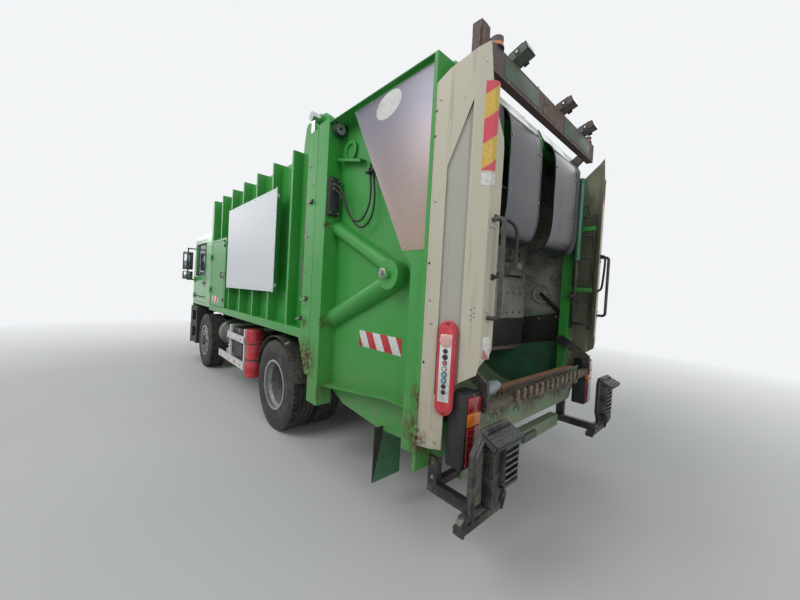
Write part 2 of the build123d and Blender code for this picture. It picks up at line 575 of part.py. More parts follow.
def side_wall(side):
    """One side wall, +1 for the truck's left."""
    box(sorted((side * (WALL_X - SKIN), side * WALL_X)), (BODY_FRONT, POST_FRONT - FACE_GAP),
        (SILL_BOTTOM, ROOF_TOP - SKIN - FACE_GAP))
    cross_plate([(side * x, z) for x, z in sill_profile], (BODY_FRONT, POST_FRONT - FACE_GAP))
    for fin_y in fin_ys:
        behind_locker = side > 0 and fin_y < LOCKER_BACK
        low = LOCKER_TOP + 50 if behind_locker else SILL_TOP
        box(sorted((side * WALL_X, side * BODY_HALF)), (fin_y - FIN_W / 2, fin_y + FIN_W / 2),
            (low, FIN_TOP))
    box(sorted((side * WALL_X, side * BODY_HALF)), (BODY_FRONT, BODY_FRONT + 80), (SILL_TOP, FIN_TOP))
    if side > 0:
        box((WALL_X, BODY_HALF), (LOCKER_BACK + RUN_GAP, LOCKER_BACK + RUN_GAP + FIN_W),
            (SILL_TOP, LOCKER_TOP + 50))
        box((WALL_X, BODY_HALF), (BODY_FRONT, LOCKER_BACK + RUN_GAP),
            (LOCKER_TOP + RUN_GAP, LOCKER_TOP + 50))
        box((0, WALL_X + 1), (LOCKER_FRONT + 130, LOCKER_BACK - 130), (SILL_TOP + 110, LOCKER_TOP - 130),
            mode=Mode.SUBTRACT)


HINGE_BORE = 9.0
KNUCKLE_R = 17.0
LOCKER_HINGE_X = BODY_HALF + KNUCKLE_R + 1
LOCKER_HINGE_Y = LOCKER_FRONT - 8
hinge_zs = (1600.0, 2200.0)
with BuildPart() as body_sides:
    side_wall(1)
    side_wall(-1)
    for hinge_z in hinge_zs:
        pin_z(LOCKER_HINGE_X, LOCKER_HINGE_Y, (hinge_z - 30, hinge_z + 30), KNUCKLE_R)
        box((BODY_HALF - 20, LOCKER_HINGE_X), (LOCKER_HINGE_Y - KNUCKLE_R, LOCKER_HINGE_Y),
            (hinge_z - 30, hinge_z + 30))
        pin_z(LOCKER_HINGE_X, LOCKER_HINGE_Y, (hinge_z - 31, hinge_z + 31), HINGE_BORE + PIN_FIT,
              Mode.SUBTRACT)
keep(body_sides, "body_sides")

# Service door in the left wall, hinged at its front edge
with BuildPart() as service_door:
    side_plate([(LOCKER_FRONT + RUN_GAP, SILL_TOP + RUN_GAP), (LOCKER_BACK, SILL_TOP + RUN_GAP),
                (LOCKER_BACK, LOCKER_TOP - 60), (LOCKER_BACK - 120, LOCKER_TOP),
                (LOCKER_FRONT + RUN_GAP, LOCKER_TOP)],
               (BODY_HALF - 22, BODY_HALF))
    for hinge_z in hinge_zs:
        pin_z(LOCKER_HINGE_X, LOCKER_HINGE_Y, (hinge_z - 60, hinge_z + 60), HINGE_BORE)
        for low, high in ((hinge_z - 60, hinge_z - 31), (hinge_z + 31, hinge_z + 60)):
            pin_z(LOCKER_HINGE_X, LOCKER_HINGE_Y, (low, high), KNUCKLE_R)
            flat_plate([(BODY_HALF + 2, LOCKER_HINGE_Y), (BODY_HALF + 30, LOCKER_HINGE_Y),
                        (BODY_HALF + 8, LOCKER_FRONT + 60), (BODY_HALF - 2, LOCKER_FRONT + 60),
                        (BODY_HALF - 2, LOCKER_FRONT + 14)], (low, high))
keep(service_door, "service_door")

# Body roof with its bows, front wall with its stiffeners
STIFFENERS = 4
with BuildPart() as body_roof:
    box((-WALL_X, WALL_X), (BODY_FRONT, POST_FRONT - FACE_GAP), (ROOF_TOP - SKIN, ROOF_TOP))
    for bow_y in fin_ys:
        box((-WALL_X + FACE_GAP, WALL_X - FACE_GAP), (bow_y - FIN_W / 2, bow_y + FIN_W / 2),
            (ROOF_TOP - SKIN, FIN_TOP))
keep(body_roof, "body_roof")

with BuildPart() as body_front_wall:
    box((-WALL_X + SKIN + FACE_GAP, WALL_X - SKIN - FACE_GAP), (BODY_FRONT, BODY_FRONT + SKIN),
        (SILL_BOTTOM, ROOF_TOP - SKIN - FACE_GAP))
    for stiffener in range(STIFFENERS):
        stiffener_z = FLOOR_TOP + 276 + stiffener * (ROOF_TOP - FLOOR_TOP) / STIFFENERS
        box((-WALL_X + 60, WALL_X - 60), (BODY_FRONT - 50, BODY_FRONT), (stiffener_z, stiffener_z + 60))
keep(body_front_wall, "body_front_wall")

# Rear frame of the body: posts, header, sill, the tailgate's hinge ears and the lift cylinders' feet
FOOT_PIN_R = 20.0
EAR_GAP = 10.0
ear_foot = fin_ys[0] + FIN_W / 2 + FACE_GAP
with BuildPart() as body_rear_frame:
    box((-BODY_HALF, BODY_HALF), (POST_FRONT, BODY_REAR), (1060 + FACE_GAP, HEADER_TOP))
    box((-WALL_X + SKIN, WALL_X - SKIN), (POST_FRONT - 1, BODY_REAR + 1), (FLOOR_TOP, ROOF_TOP - SKIN),
        mode=Mode.SUBTRACT)
    box((-BODY_HALF - 1, BODY_HALF + 1), (POST_FRONT - 1, BODY_REAR - 12), (1000, SILL_BOTTOM - 40),
        mode=Mode.SUBTRACT)
    for side in (-1, 1):
        side_plate([(POST_FRONT - 40, SILL_BOTTOM), (BODY_REAR, SILL_BOTTOM), (BODY_REAR, 860),
                    (BODY_REAR - 60, 860)], sorted((side * (BODY_HALF - 100), side * BODY_HALF)))
        ears = ((GATE_ARM_X - EAR_GAP - 30, GATE_ARM_X - EAR_GAP),
                (GATE_ARM_X + GATE_ARM_W + EAR_GAP, GATE_ARM_X + GATE_ARM_W + EAR_GAP + 28))
        across = sorted((side * ears[0][0], side * ears[1][1]))
        box(across, (ear_foot, POST_FRONT + 1), (ROOF_TOP + FACE_GAP, HEADER_TOP))
        for ear in ears:
            side_plate([(ear_foot, HEADER_TOP), (2 * HINGE_Y - ear_foot, HEADER_TOP),
                        (HINGE_Y + LUG_R, HINGE_Z), (HINGE_Y - LUG_R, HINGE_Z)],
                       sorted((side * ear[0], side * ear[1])))
            pin_x(HINGE_Y, HINGE_Z, sorted((side * ear[0], side * ear[1])), LUG_R)
        pin_x(HINGE_Y, HINGE_Z, across, PIN_R)
        box(sorted((side * (WALL_X + FACE_GAP), side * (LIFT_X - 32))), (LIFT_FOOT_Y - 60, POST_FRONT + 1),
            (LIFT_FOOT_Z - 48, LIFT_FOOT_Z + 48))
        pin_x(LIFT_FOOT_Y, LIFT_FOOT_Z, sorted((side * (WALL_X + FACE_GAP), side * (LIFT_X + 45))),
              FOOT_PIN_R)
keep(body_rear_frame, "body_rear_frame")

# Plain sign panels on both sides
SIGN_FRONT = -920.0
SIGN_BACK = 1030.0
SIGN_BOTTOM = 1670.0
SIGN_TOP = 2910.0
with BuildPart() as sign_panels:
    box((SIGN_X, SIGN_X + 6), (SIGN_FRONT, SIGN_BACK), (SIGN_BOTTOM, SIGN_TOP))
    for strip_z in (SIGN_BOTTOM + 60, SIGN_TOP - 100):
        box((BODY_HALF + FACE_GAP, SIGN_X), (SIGN_FRONT + 30, SIGN_BACK - 30), (strip_z, strip_z + 40))
    mirror(about=Plane.YZ)
keep(sign_panels, "sign_panels")

# Cab floor with its engine tunnel and the tilt eyes
TUNNEL_HALF = 390.0
TUNNEL_TOP = 1500.0
inner_half = CAB_HALF - CAB_SIDE
tunnel_path = [(-inner_half, CAB_FLOOR), (-TUNNEL_HALF, CAB_FLOOR), (-TUNNEL_HALF + 40, TUNNEL_TOP),
               (TUNNEL_HALF - 40, TUNNEL_TOP), (TUNNEL_HALF, CAB_FLOOR), (inner_half, CAB_FLOOR)]
with BuildPart() as cab_floor:
    cross_plate(bent_sheet(tunnel_path, CAB_SKIN), (CAB_FRONT + 60, CAB_BACK - CAB_SKIN - FACE_GAP))
    for side in (-1, 1):
        eye_x = sorted((side * (TILT_EAR_X + TILT_EAR_W / 2 + SIDE_GAP),
                        side * (TILT_EAR_X + 1.5 * TILT_EAR_W + SIDE_GAP)))
        side_plate([(TILT_Y - 45, TILT_Z), (TILT_Y + 45, TILT_Z), (TILT_Y + 60, CAB_FLOOR),
                    (TILT_Y - 20, CAB_FLOOR)], eye_x)
        pin_x(TILT_Y, TILT_Z, eye_x, 45)
        pin_x(TILT_Y, TILT_Z, (eye_x[0] - 1, eye_x[1] + 1), PIN_R + PIN_FIT, Mode.SUBTRACT)
        box(sorted((side * 560, side * 640)), (CAB_FRONT + 60, CAB_BACK - 60), (CAB_FLOOR - 70, CAB_FLOOR))
keep(cab_floor, "cab_floor")

# Cab shell: both sides with the door openings, and the back wall with its window
DOOR_HINGE_X = CAB_HALF + KNUCKLE_R + 1
DOOR_HINGE_Y = DOOR_FRONT - 9.0
door_hinge_zs = (1420.0, 1780.0)
SILL_Z = CAB_FLOOR - 10.0
with BuildPart() as cab_shell:
    for side in (-1, 1):
        x = sorted((side * inner_half + side * FACE_GAP, side * CAB_HALF))
        side_plate([(CAB_FRONT + 10 + FACE_GAP, SILL_Z), (CAB_BACK, SILL_Z), (CAB_BACK, CAB_TOP - 60),
                    (CAB_FRONT + 125, CAB_TOP - 60), (CAB_FRONT + 10 + FACE_GAP, WAIST_Z)], x)
        side_plate([(DOOR_FRONT, DOOR_BOTTOM), (DOOR_BACK, DOOR_BOTTOM), (DOOR_BACK, DOOR_TOP),
                    (DOOR_FRONT + 100, DOOR_TOP), (DOOR_FRONT, WAIST_Z)], (x[0] - 1, x[1] + 1),
                   mode=Mode.SUBTRACT)
        for hinge_z in door_hinge_zs:
            pin_z(side * DOOR_HINGE_X, DOOR_HINGE_Y, (hinge_z - 30, hinge_z + 30), KNUCKLE_R)
            box(sorted((side * (CAB_HALF - 15), side * DOOR_HINGE_X)),
                (DOOR_HINGE_Y - KNUCKLE_R, DOOR_HINGE_Y), (hinge_z - 30, hinge_z + 30))
            pin_z(side * DOOR_HINGE_X, DOOR_HINGE_Y, (hinge_z - 31, hinge_z + 31), HINGE_BORE + PIN_FIT,
                  Mode.SUBTRACT)
    box((-inner_half - 1, inner_half + 1), (CAB_BACK - CAB_SKIN, CAB_BACK), (CAB_FLOOR, CAB_TOP - 60))
    box((-500, 500), (CAB_BACK - 20, CAB_BACK + 20), (WAIST_Z + 60, WAIST_Z + 560), mode=Mode.SUBTRACT)
keep(cab_shell, "cab_shell")

# Cab roof: a shallow tray with its lip down
with BuildPart() as cab_roof:
    side_plate([(CAB_FRONT + 105, CAB_TOP - 60 + FACE_GAP), (CAB_BACK, CAB_TOP - 60 + FACE_GAP),
                (CAB_BACK, CAB_TOP - 30), (CAB_BACK - 40, CAB_TOP), (CAB_FRONT + 230, CAB_TOP),
                (CAB_FRONT + 130, CAB_TOP - 20)], (-CAB_HALF, CAB_HALF))
    chamfer(cab_roof.edges().filter_by(Axis.Y).group_by(Axis.Z)[-1], 25)
    box((-CAB_HALF + 40, CAB_HALF - 40), (CAB_FRONT + 240, CAB_BACK - 50),
        (CAB_TOP - 70, CAB_TOP - CAB_SKIN - 4), mode=Mode.SUBTRACT)
keep(cab_roof, "cab_roof")

# Cab front: lower panel and windscreen frame, as one bent sheet
FRONT_WALL = 10.0
SCREEN_HALF = 1060.0
SCREEN_Z = (WAIST_Z + 30, CAB_TOP - 120)
front_path = [(CAB_FRONT, 1010), (CAB_FRONT, WAIST_Z), (CAB_FRONT + 108, CAB_TOP - 60)]
front_sheet = bent_sheet(front_path, -FRONT_WALL)
with BuildPart() as cab_front:
    side_plate(front_sheet, (-CAB_HALF, CAB_HALF))
    box((-SCREEN_HALF, SCREEN_HALF), (CAB_FRONT - 50, CAB_FRONT + 250), SCREEN_Z, mode=Mode.SUBTRACT)
    box((-inner_half + FACE_GAP, inner_half - FACE_GAP),
        (CAB_FRONT + FRONT_WALL - 1, CAB_FRONT + 60 - FACE_GAP), (CAB_FLOOR + FACE_GAP, CAB_FLOOR + 40))
keep(cab_front, "cab_front")

with BuildPart() as cab_glass:
    side_plate(front_sheet, (-SCREEN_HALF + FACE_GAP, SCREEN_HALF - FACE_GAP))
    box((-CAB_HALF, CAB_HALF), (CAB_FRONT - 50, CAB_FRONT + 250),
        (SCREEN_Z[0] + FACE_GAP, SCREEN_Z[1] - FACE_GAP), mode=Mode.INTERSECT)
    box((-500 + FACE_GAP, 500 - FACE_GAP), (CAB_BACK - CAB_SKIN, CAB_BACK),
        (WAIST_Z + 60 + FACE_GAP, WAIST_Z + 560 - FACE_GAP))
keep(cab_glass, "cab_glass")

# Seats: a base, a cushion and a back for driver and mate
SEAT_X = 720.0
with BuildPart() as seats:
    for seat_x in (-SEAT_X, SEAT_X):
        box((seat_x - 170, seat_x + 170), (-3150, -2780), (CAB_FLOOR + CAB_SKIN + FACE_GAP, 1560))
        box((seat_x - 245, seat_x + 245), (-3260, -2740), (1560, 1690))
        side_plate([(-2860, 1650), (-2740, 1650), (-2620, 2280), (-2560, 2460), (-2640, 2470), (-2740, 2280)],
                   (seat_x - 235, seat_x + 235))
keep(seats, "seats")

# Dashboard with the steering column
COLUMN_X = 690.0
WHEEL_Y = -3500.0
WHEEL_Z = 1850.0
COLUMN_TILT = 58.0      # of the column above the horizon
WHEEL_R = 225.0
DASH_BOTTOM = TUNNEL_TOP + CAB_SKIN + FACE_GAP
column_dir = (0, cos(radians(COLUMN_TILT)), sin(radians(COLUMN_TILT)))


def along_column(distance):
    """The point at a distance up the steering column from the wheel's middle."""
    return (COLUMN_X, WHEEL_Y + distance * column_dir[1], WHEEL_Z + distance * column_dir[2])


with BuildPart() as dashboard:
    side_plate([(CAB_FRONT + FRONT_WALL + FACE_GAP, DASH_BOTTOM), (-3800, DASH_BOTTOM), (-3700, 1640),
                (-3680, 1800), (-3800, 1870), (CAB_FRONT + FRONT_WALL + FACE_GAP, 1870)],
               (-inner_half + 10, inner_half - 10))
    bar(along_column(-685), along_column(-30), 38)
    box((COLUMN_X - 30, COLUMN_X + 30), (-3790, -3660), (1560, 1620))
    bar(along_column(-40), along_column(0), 14)
keep(dashboard, "dashboard")

with BuildPart() as steering_wheel:
    with BuildSketch(Plane(origin=along_column(0), x_dir=(1, 0, 0), z_dir=column_dir)) as wheel_sketch:
        Circle(WHEEL_R + 14)
        Circle(WHEEL_R - 14, mode=Mode.SUBTRACT)
        for spoke in (90, 210, 330):
            spoke_mid = (WHEEL_R / 2 * cos(radians(spoke)), WHEEL_R / 2 * sin(radians(spoke)), 0)
            with Locations(Location(spoke_mid, spoke)):
                Rectangle(WHEEL_R, 30)
        Circle(60)
    extrude(wheel_sketch.sketch, amount=13, both=True)
    bar(along_column(-45), along_column(5), 14 + PIN_FIT, Mode.SUBTRACT)
keep(steering_wheel, "steering_wheel")

# Mirrors on arms from the front pillars
MIRROR_X = BODY_HALF + 80.0
MIRROR_HALF = 95.0
MIRROR_TOP = CAB_TOP - 240.0
with BuildPart() as mirrors:
    for side in (-1, 1):
        width = sorted((side * (MIRROR_X - MIRROR_HALF), side * (MIRROR_X + MIRROR_HALF)))
        box(width, (-3975, -3900), (MIRROR_TOP - 500, MIRROR_TOP - 100))
        box(width, (-3965, -3895), (MIRROR_TOP - 720, MIRROR_TOP - 540))
        pin_z(side * MIRROR_X, -3935, (MIRROR_TOP - 740, MIRROR_TOP), 14)
        for arm_z in (MIRROR_TOP - 725, MIRROR_TOP - 15):
            pin_x(-3935, arm_z, sorted((side * (CAB_HALF + FACE_GAP), side * MIRROR_X)), 14)
keep(mirrors, "mirrors")

# Doors: slab with its window cut, hinge pins at the front edge; the pane is a separate piece
door_outline = [(DOOR_FRONT + RUN_GAP, DOOR_BOTTOM + RUN_GAP), (DOOR_BACK - RUN_GAP, DOOR_BOTTOM + RUN_GAP),
                (DOOR_BACK - RUN_GAP, DOOR_TOP - RUN_GAP), (DOOR_FRONT + 100 + RUN_GAP, DOOR_TOP - RUN_GAP),
                (DOOR_FRONT + RUN_GAP, WAIST_Z)]


def door_window(shrink):
    """Outline of the door's window, smaller by shrink all round."""
    return [(DOOR_FRONT + 90 + shrink, WAIST_Z + shrink), (DOOR_BACK - 70 - shrink, WAIST_Z + shrink),
            (DOOR_BACK - 70 - shrink, DOOR_TOP - 70 - shrink),
            (DOOR_FRONT + 160 + shrink, DOOR_TOP - 70 - shrink)]


for ending, side in (("left", 1), ("right", -1)):
    slab = sorted((side * (CAB_HALF - CAB_SIDE), side * CAB_HALF))
    with BuildPart() as door:
        side_plate(door_outline, slab)
        side_plate(door_window(0), (slab[0] - 1, slab[1] + 1), mode=Mode.SUBTRACT)
        for hinge_z in door_hinge_zs:
            pin_z(side * DOOR_HINGE_X, DOOR_HINGE_Y, (hinge_z - 62, hinge_z + 62), HINGE_BORE)
            for low, high in ((hinge_z - 62, hinge_z - 31), (hinge_z + 31, hinge_z + 62)):
                pin_z(side * DOOR_HINGE_X, DOOR_HINGE_Y, (low, high), KNUCKLE_R)
                flat_plate([(side * (CAB_HALF + 2), DOOR_HINGE_Y), (side * (CAB_HALF + 30), DOOR_HINGE_Y),
                            (side * (CAB_HALF + 8), DOOR_FRONT + 70),
                            (side * (CAB_HALF - 2), DOOR_FRONT + 70),
                            (side * (CAB_HALF - 2), DOOR_FRONT + 14)], (low, high))
    keep(door, f"door_{ending}")
    with BuildPart() as door_glass:
        side_plate(door_window(FACE_GAP), sorted((side * (CAB_HALF - 30), side * (CAB_HALF - 25))))
    keep(door_glass, f"door_glass_{ending}")

# Hydraulic hoses in the tailgate's left recess: points from the gland box on the ring to the bracket
HOSE_R = 8.5
HOSE_START_Y = RING_REAR + 55.0
HOSE_START_Z = 2740.0
HOSE_END_Y = 2690.0
HOSE_END_Z = 2745.0
COLLAR_R = 13.0
COLLAR_LEN = 32.0
hose_routes = {
    "hose_outer": [
        (1200, HOSE_START_Y, HOSE_START_Z), (1198, 2255, 2715), (1190, 2345, 2590), (1180, 2415, 2430),
        (1170, 2520, 2310), (1160, 2640, 2285), (1150, 2725, 2380), (1145, 2740, 2520), (1140, 2715, 2650),
        (1135, HOSE_END_Y, HOSE_END_Z),
    ],
    "hose_inner": [
        (1200, HOSE_START_Y, HOSE_START_Z - 40), (1192, 2240, 2670), (1178, 2320, 2555), (1165, 2385, 2430),
        (1152, 2480, 2350), (1142, 2580, 2370), (1135, 2650, 2470), (1132, 2665, 2590), (1130, 2650, 2680),
        (1130, HOSE_END_Y - 50, HOSE_END_Z),
    ],
}

# Tailgate sides: ring post, recessed panel, raised upper rear, seam flange, boss, braces and mud flaps
EYE_Y = 2280.0           # round eye high on the recessed panel
EYE_Z = 3060.0
EYE_RING_R = 95.0
FLAP_X = (PANEL_X - 210.0, PANEL_X + 85.0)
FLAP_Y = 2935.0
FLAP_WALL = 10.0
FLAP_TOP = 650.0
FLAP_BOTTOM = 205.0
raised = [(2480.0, GATE_TOP - GATE_WALL), (3190.0, 2060.0), (3290.0, 1950.0), (3290.0, 700.0)]
panel_outline = [(RING_REAR - 1, 760), (2350, 660), (2900, 610), (SEAM_Y, 650),
                 (SEAM_Y, GATE_TOP - GATE_WALL), (RING_REAR - 1, GATE_TOP - GATE_WALL)]
raised_outline = raised + [(3290.0, 640.0), (SEAM_Y, 650.0), (SEAM_Y, GATE_TOP - GATE_WALL)]
step_wall = bent_sheet(raised + [(3290.0, 645.0)], GATE_WALL)
ring_profile = [
    (PANEL_X - GATE_WALL, RING_REAR), (BODY_HALF, RING_REAR), (BODY_HALF, GATE_FRONT),
    (WALL_X - SKIN, GATE_FRONT), (WALL_X - SKIN, GATE_FRONT + 8), (BODY_HALF - 8, GATE_FRONT + 8),
    (BODY_HALF - 8, RING_REAR - 8), (PANEL_X - GATE_WALL, RING_REAR - 8),
]
with BuildPart() as gate_sides:
    flat_plate(ring_profile, (RING_BOTTOM, RING_TOP))
    side_plate(panel_outline, (PANEL_X - GATE_WALL, PANEL_X))
    side_plate(raised_outline, (RAISED_X - GATE_WALL, RAISED_X))
    side_plate(step_wall, (PANEL_X - GATE_WALL, RAISED_X))
    box((0, BODY_HALF), (RING_REAR, SEAM_Y + SEAM_LEN), (GATE_TOP - GATE_WALL, RING_TOP), mode=Mode.SUBTRACT)
    box((HOPPER_HALF, BODY_HALF), (SEAM_Y, SEAM_Y + SEAM_LEN), (560, GATE_TOP - GATE_WALL))
    side_plate([(RING_REAR - 1, 800), (3100, 940), (3290, 940), (3290, 932), (3100, 932),
                (RING_REAR - 1, 792)], (PANEL_X - GATE_WALL, RAISED_X))
    pin_x(BOSS_Y, BOSS_Z, (PANEL_X - GATE_WALL, RAISED_X), 115)
    pin_x(BOSS_Y, BOSS_Z, (PANEL_X, BODY_HALF - 8), 32)
    bar((PANEL_X + 5, RING_REAR - 4, 2350), (PANEL_X + 5, BOSS_Y, BOSS_Z + 20), 72)
    bar((PANEL_X + 5, RING_REAR - 4, 1450), (PANEL_X + 5, BOSS_Y, BOSS_Z - 20), 92)
    box((0, PANEL_X - GATE_WALL), (GATE_FRONT, SEAM_Y - 1), (RING_BOTTOM - 100, RING_TOP + 100),
        mode=Mode.SUBTRACT)
    pin_x(EYE_Y, EYE_Z, (PANEL_X - 1, PANEL_X + 24), EYE_RING_R)
    pin_x(EYE_Y, EYE_Z, (PANEL_X + 8, PANEL_X + 25), EYE_RING_R - 30, Mode.SUBTRACT)
    box((FLAP_X[0] - 10, PANEL_X - 3), (FLAP_Y - 30, FLAP_Y), (FLAP_TOP - 25, FLAP_TOP))
    box(FLAP_X, (FLAP_Y - 1, FLAP_Y + FLAP_WALL), (FLAP_BOTTOM, FLAP_TOP))
    mirror(about=Plane.YZ)
    box((PANEL_X + 40, BODY_HALF - 10), (RING_REAR - 1, HOSE_START_Y - 5),
        (HOSE_START_Z - 290, HOSE_START_Z + 70))
    box((PANEL_X - 1, PANEL_X + 70), (HOSE_END_Y - 90, HOSE_END_Y + 40), (HOSE_END_Z + 15, HOSE_END_Z + 27))
    for route in hose_routes.values():
        start, second, before_end, end = (Vector(*route[place]) for place in (0, 1, -2, -1))
        bar(start - (second - start).normalized() * COLLAR_LEN, start, COLLAR_R)
        bar(end, end + (end - before_end).normalized() * COLLAR_LEN, COLLAR_R)
keep(gate_sides, "gate_sides")


def route_radii(route):
    """The arc radius at each inner point: 0.45 of the shorter run over the tangent of half the turn."""
    radii = []
    for before, here, after in zip(route, route[1:], route[2:]):
        run_in = Vector(*here) - Vector(*before)
        run_out = Vector(*after) - Vector(*here)
        half_turn = radians(run_in.get_angle(run_out)) / 2
        radii.append(0.45 * min(run_in.length, run_out.length) / tan(half_turn))
    return radii


# Hydraulic hoses that hang in the left recess, from the ring's gland box to the bracket above the brace
for name, route in hose_routes.items():
    radii = route_radii(route)
    with BuildPart() as hose:
        with BuildLine() as hose_path:
            FilletPolyline(*route, radius=radii)
        with BuildSketch(Plane(origin=hose_path.line @ 0, z_dir=hose_path.line % 0)):
            Circle(HOSE_R)
        sweep(path=hose_path.line)
    hose_len = sum(edge.length for edge in hose_path.edges())
    print(name, "radii", [round(radius) for radius in radii], "length", round(hose_len),
          "volume share", round(hose.part.volume / (pi * HOSE_R ** 2 * hose_len), 4))
    keep(hose, name)

# Tailgate frame: roof sheet, header, rear portal and the hinge arms
REAR_POST = (SEAM_Y + SEAM_LEN + FACE_GAP, SEAM_Y + SEAM_LEN + 80)
POST_OUT = HOPPER_HALF + 16.0
POST_BOTTOM = 640.0
EAVE = 20.0              # the roof's rear edge slopes down from here
EAVE_LOW = 3210.0
PACK_BARREL_LOW = 2620.0
LIFTER_Y = sum(REAR_POST) / 2
LIFTER_Z = 1330.0
LIFTER_PIN_R = 20.0
arm_outline = [
    (HINGE_Y - 10, HINGE_Z - LUG_R), (HINGE_Y + 80, HINGE_Z - LUG_R - 15),
    (GATE_FRONT + 30, HEADER_TOP + 60), (GATE_FRONT + 30, 3250),
    (RING_REAR - 10, 3250), (RING_REAR - 10, RING_TOP), (LIFT_EYE_Y + 90, LIFT_EYE_Z + 50),
    (LIFT_EYE_Y, LIFT_EYE_Z + LUG_R), (HINGE_Y, HINGE_Z + LUG_R),
]
with BuildPart() as gate_frame:
    box((-BODY_HALF, BODY_HALF), (RING_REAR + FACE_GAP, SEAM_Y + SEAM_LEN),
        (GATE_TOP - GATE_WALL + FACE_GAP, GATE_TOP))
    box((-POST_OUT, POST_OUT), (SEAM_Y + SEAM_LEN, REAR_POST[0] + EAVE),
        (GATE_TOP - GATE_WALL + FACE_GAP, GATE_TOP))
    box((-HOPPER_HALF + FACE_GAP, HOPPER_HALF - FACE_GAP), (GATE_FRONT, RING_REAR + 1), (ROOF_TOP, RING_TOP))
    side_plate([(REAR_POST[0], EAVE_LOW - 60), (REAR_POST[1], EAVE_LOW - 60), (REAR_POST[1], EAVE_LOW),
                (REAR_POST[0] + EAVE, GATE_TOP), (REAR_POST[0], GATE_TOP)], (-POST_OUT, POST_OUT))
    for pack_x in (-PACK_X, PACK_X):
        box((pack_x - 90, pack_x + 90), (PACK_Y - 90, PACK_Y + 90), (GATE_TOP - 40, GATE_TOP - 5))
        pin_z(pack_x, PACK_Y, (PACK_BARREL_LOW, GATE_TOP - 6), PACK_BARREL_R)
        pin_z(pack_x, PACK_Y, (PACK_BARREL_LOW - 1, GATE_TOP - 71), PACK_ROD_R + PIN_FIT, Mode.SUBTRACT)
    for side in (-1, 1):
        box(sorted((side * CLEAR_HALF, side * POST_OUT)), REAR_POST, (POST_BOTTOM, EAVE_LOW))
        pin_x(LIFTER_Y, LIFTER_Z, sorted((side * (CLEAR_HALF - 1), side * (CLEAR_HALF + 50))),
              LIFTER_PIN_R + PIN_FIT, Mode.SUBTRACT)
        side_plate(arm_outline, sorted((side * GATE_ARM_X, side * (GATE_ARM_X + GATE_ARM_W))))
        pin_x(HINGE_Y, HINGE_Z, sorted((side * GATE_ARM_X, side * (GATE_ARM_X + GATE_ARM_W))), LUG_R)
        pin_x(LIFT_EYE_Y, LIFT_EYE_Z, sorted((side * GATE_ARM_X, side * (WALL_X - 5))), 55)
        pin_x(HINGE_Y, HINGE_Z, sorted((side * (GATE_ARM_X - 1), side * (GATE_ARM_X + GATE_ARM_W + 1))),
              PIN_R + PIN_FIT, Mode.SUBTRACT)
keep(gate_frame, "gate_frame")

# Hopper tub: a sheet from the body's floor down a ramp, round the blade's sweep and up to the lip,
# with the rear apron and the lip bar
TUB_WALL = 8.0
LIP_HALF = 670.0
sweep_z = BLADE_Z - PACKER_TRAVEL
tub_r = hypot(LIP_Y - BLADE_Y, LIP_Z - sweep_z)
ramp_top = (RING_REAR + 15, FLOOR_TOP)
ramp_reach = hypot(ramp_top[0] - BLADE_Y, ramp_top[1] - sweep_z)
ramp_angle = atan2(ramp_top[1] - sweep_z, ramp_top[0] - BLADE_Y) + acos(tub_r / ramp_reach)
lip_angle = atan2(LIP_Z - sweep_z, LIP_Y - BLADE_Y)


def on_sweep(radius, angle):
    """The (y, z) point at an angle about the blade's pin at the bottom of its travel."""
    return (BLADE_Y + radius * cos(angle), sweep_z + radius * sin(angle))


with BuildPart() as hopper_tub:
    with BuildSketch(Plane.YZ.offset(-HOPPER_HALF + FACE_GAP)) as tub_section:
        with BuildLine():
            ramp_foot = on_sweep(tub_r, ramp_angle)
            ramp_foot_out = on_sweep(tub_r + TUB_WALL, ramp_angle)
            lip_edge = on_sweep(tub_r, lip_angle)
            lip_edge_out = on_sweep(tub_r + TUB_WALL, lip_angle)
            middle = (ramp_angle + lip_angle) / 2
            bend = TUB_WALL * (1 + sin(ramp_angle)) / cos(ramp_angle)
            ramp_top_out = (ramp_top[0] + TUB_WALL * cos(ramp_angle) - bend * sin(ramp_angle),
                            ramp_top[1] - TUB_WALL)
            Polyline((GATE_FRONT + 9, FLOOR_TOP), ramp_top, ramp_foot)
            ThreePointArc(ramp_foot, on_sweep(tub_r, middle), lip_edge)
            Line(lip_edge, lip_edge_out)
            ThreePointArc(lip_edge_out, on_sweep(tub_r + TUB_WALL, middle), ramp_foot_out)
            Polyline(ramp_foot_out, ramp_top_out, (GATE_FRONT + 9, FLOOR_TOP - TUB_WALL),
                     (GATE_FRONT + 9, FLOOR_TOP))
        make_face()
    extrude(tub_section.sketch, amount=2 * (HOPPER_HALF - FACE_GAP))
    side_plate([(LIP_Y, LIP_Z), (LIP_Y + 10, LIP_Z), (3630, 700), (3560, 640), (3552, 646), (3620, 702)],
               (-CLEAR_HALF + 20, CLEAR_HALF - 20))
    box((-LIP_HALF, LIP_HALF), (LIP_Y - 5, LIP_Y + 45), (LIP_Z - 12, LIP_Z + 28))
    for side in (-1, 1):
        box(sorted((side * (CLEAR_HALF - FACE_GAP), side * HOPPER_HALF)), (SEAM_Y + SEAM_LEN, LIP_Y + 60),
            (500, LIP_Z + 100), mode=Mode.SUBTRACT)
keep(hopper_tub, "hopper_tub")

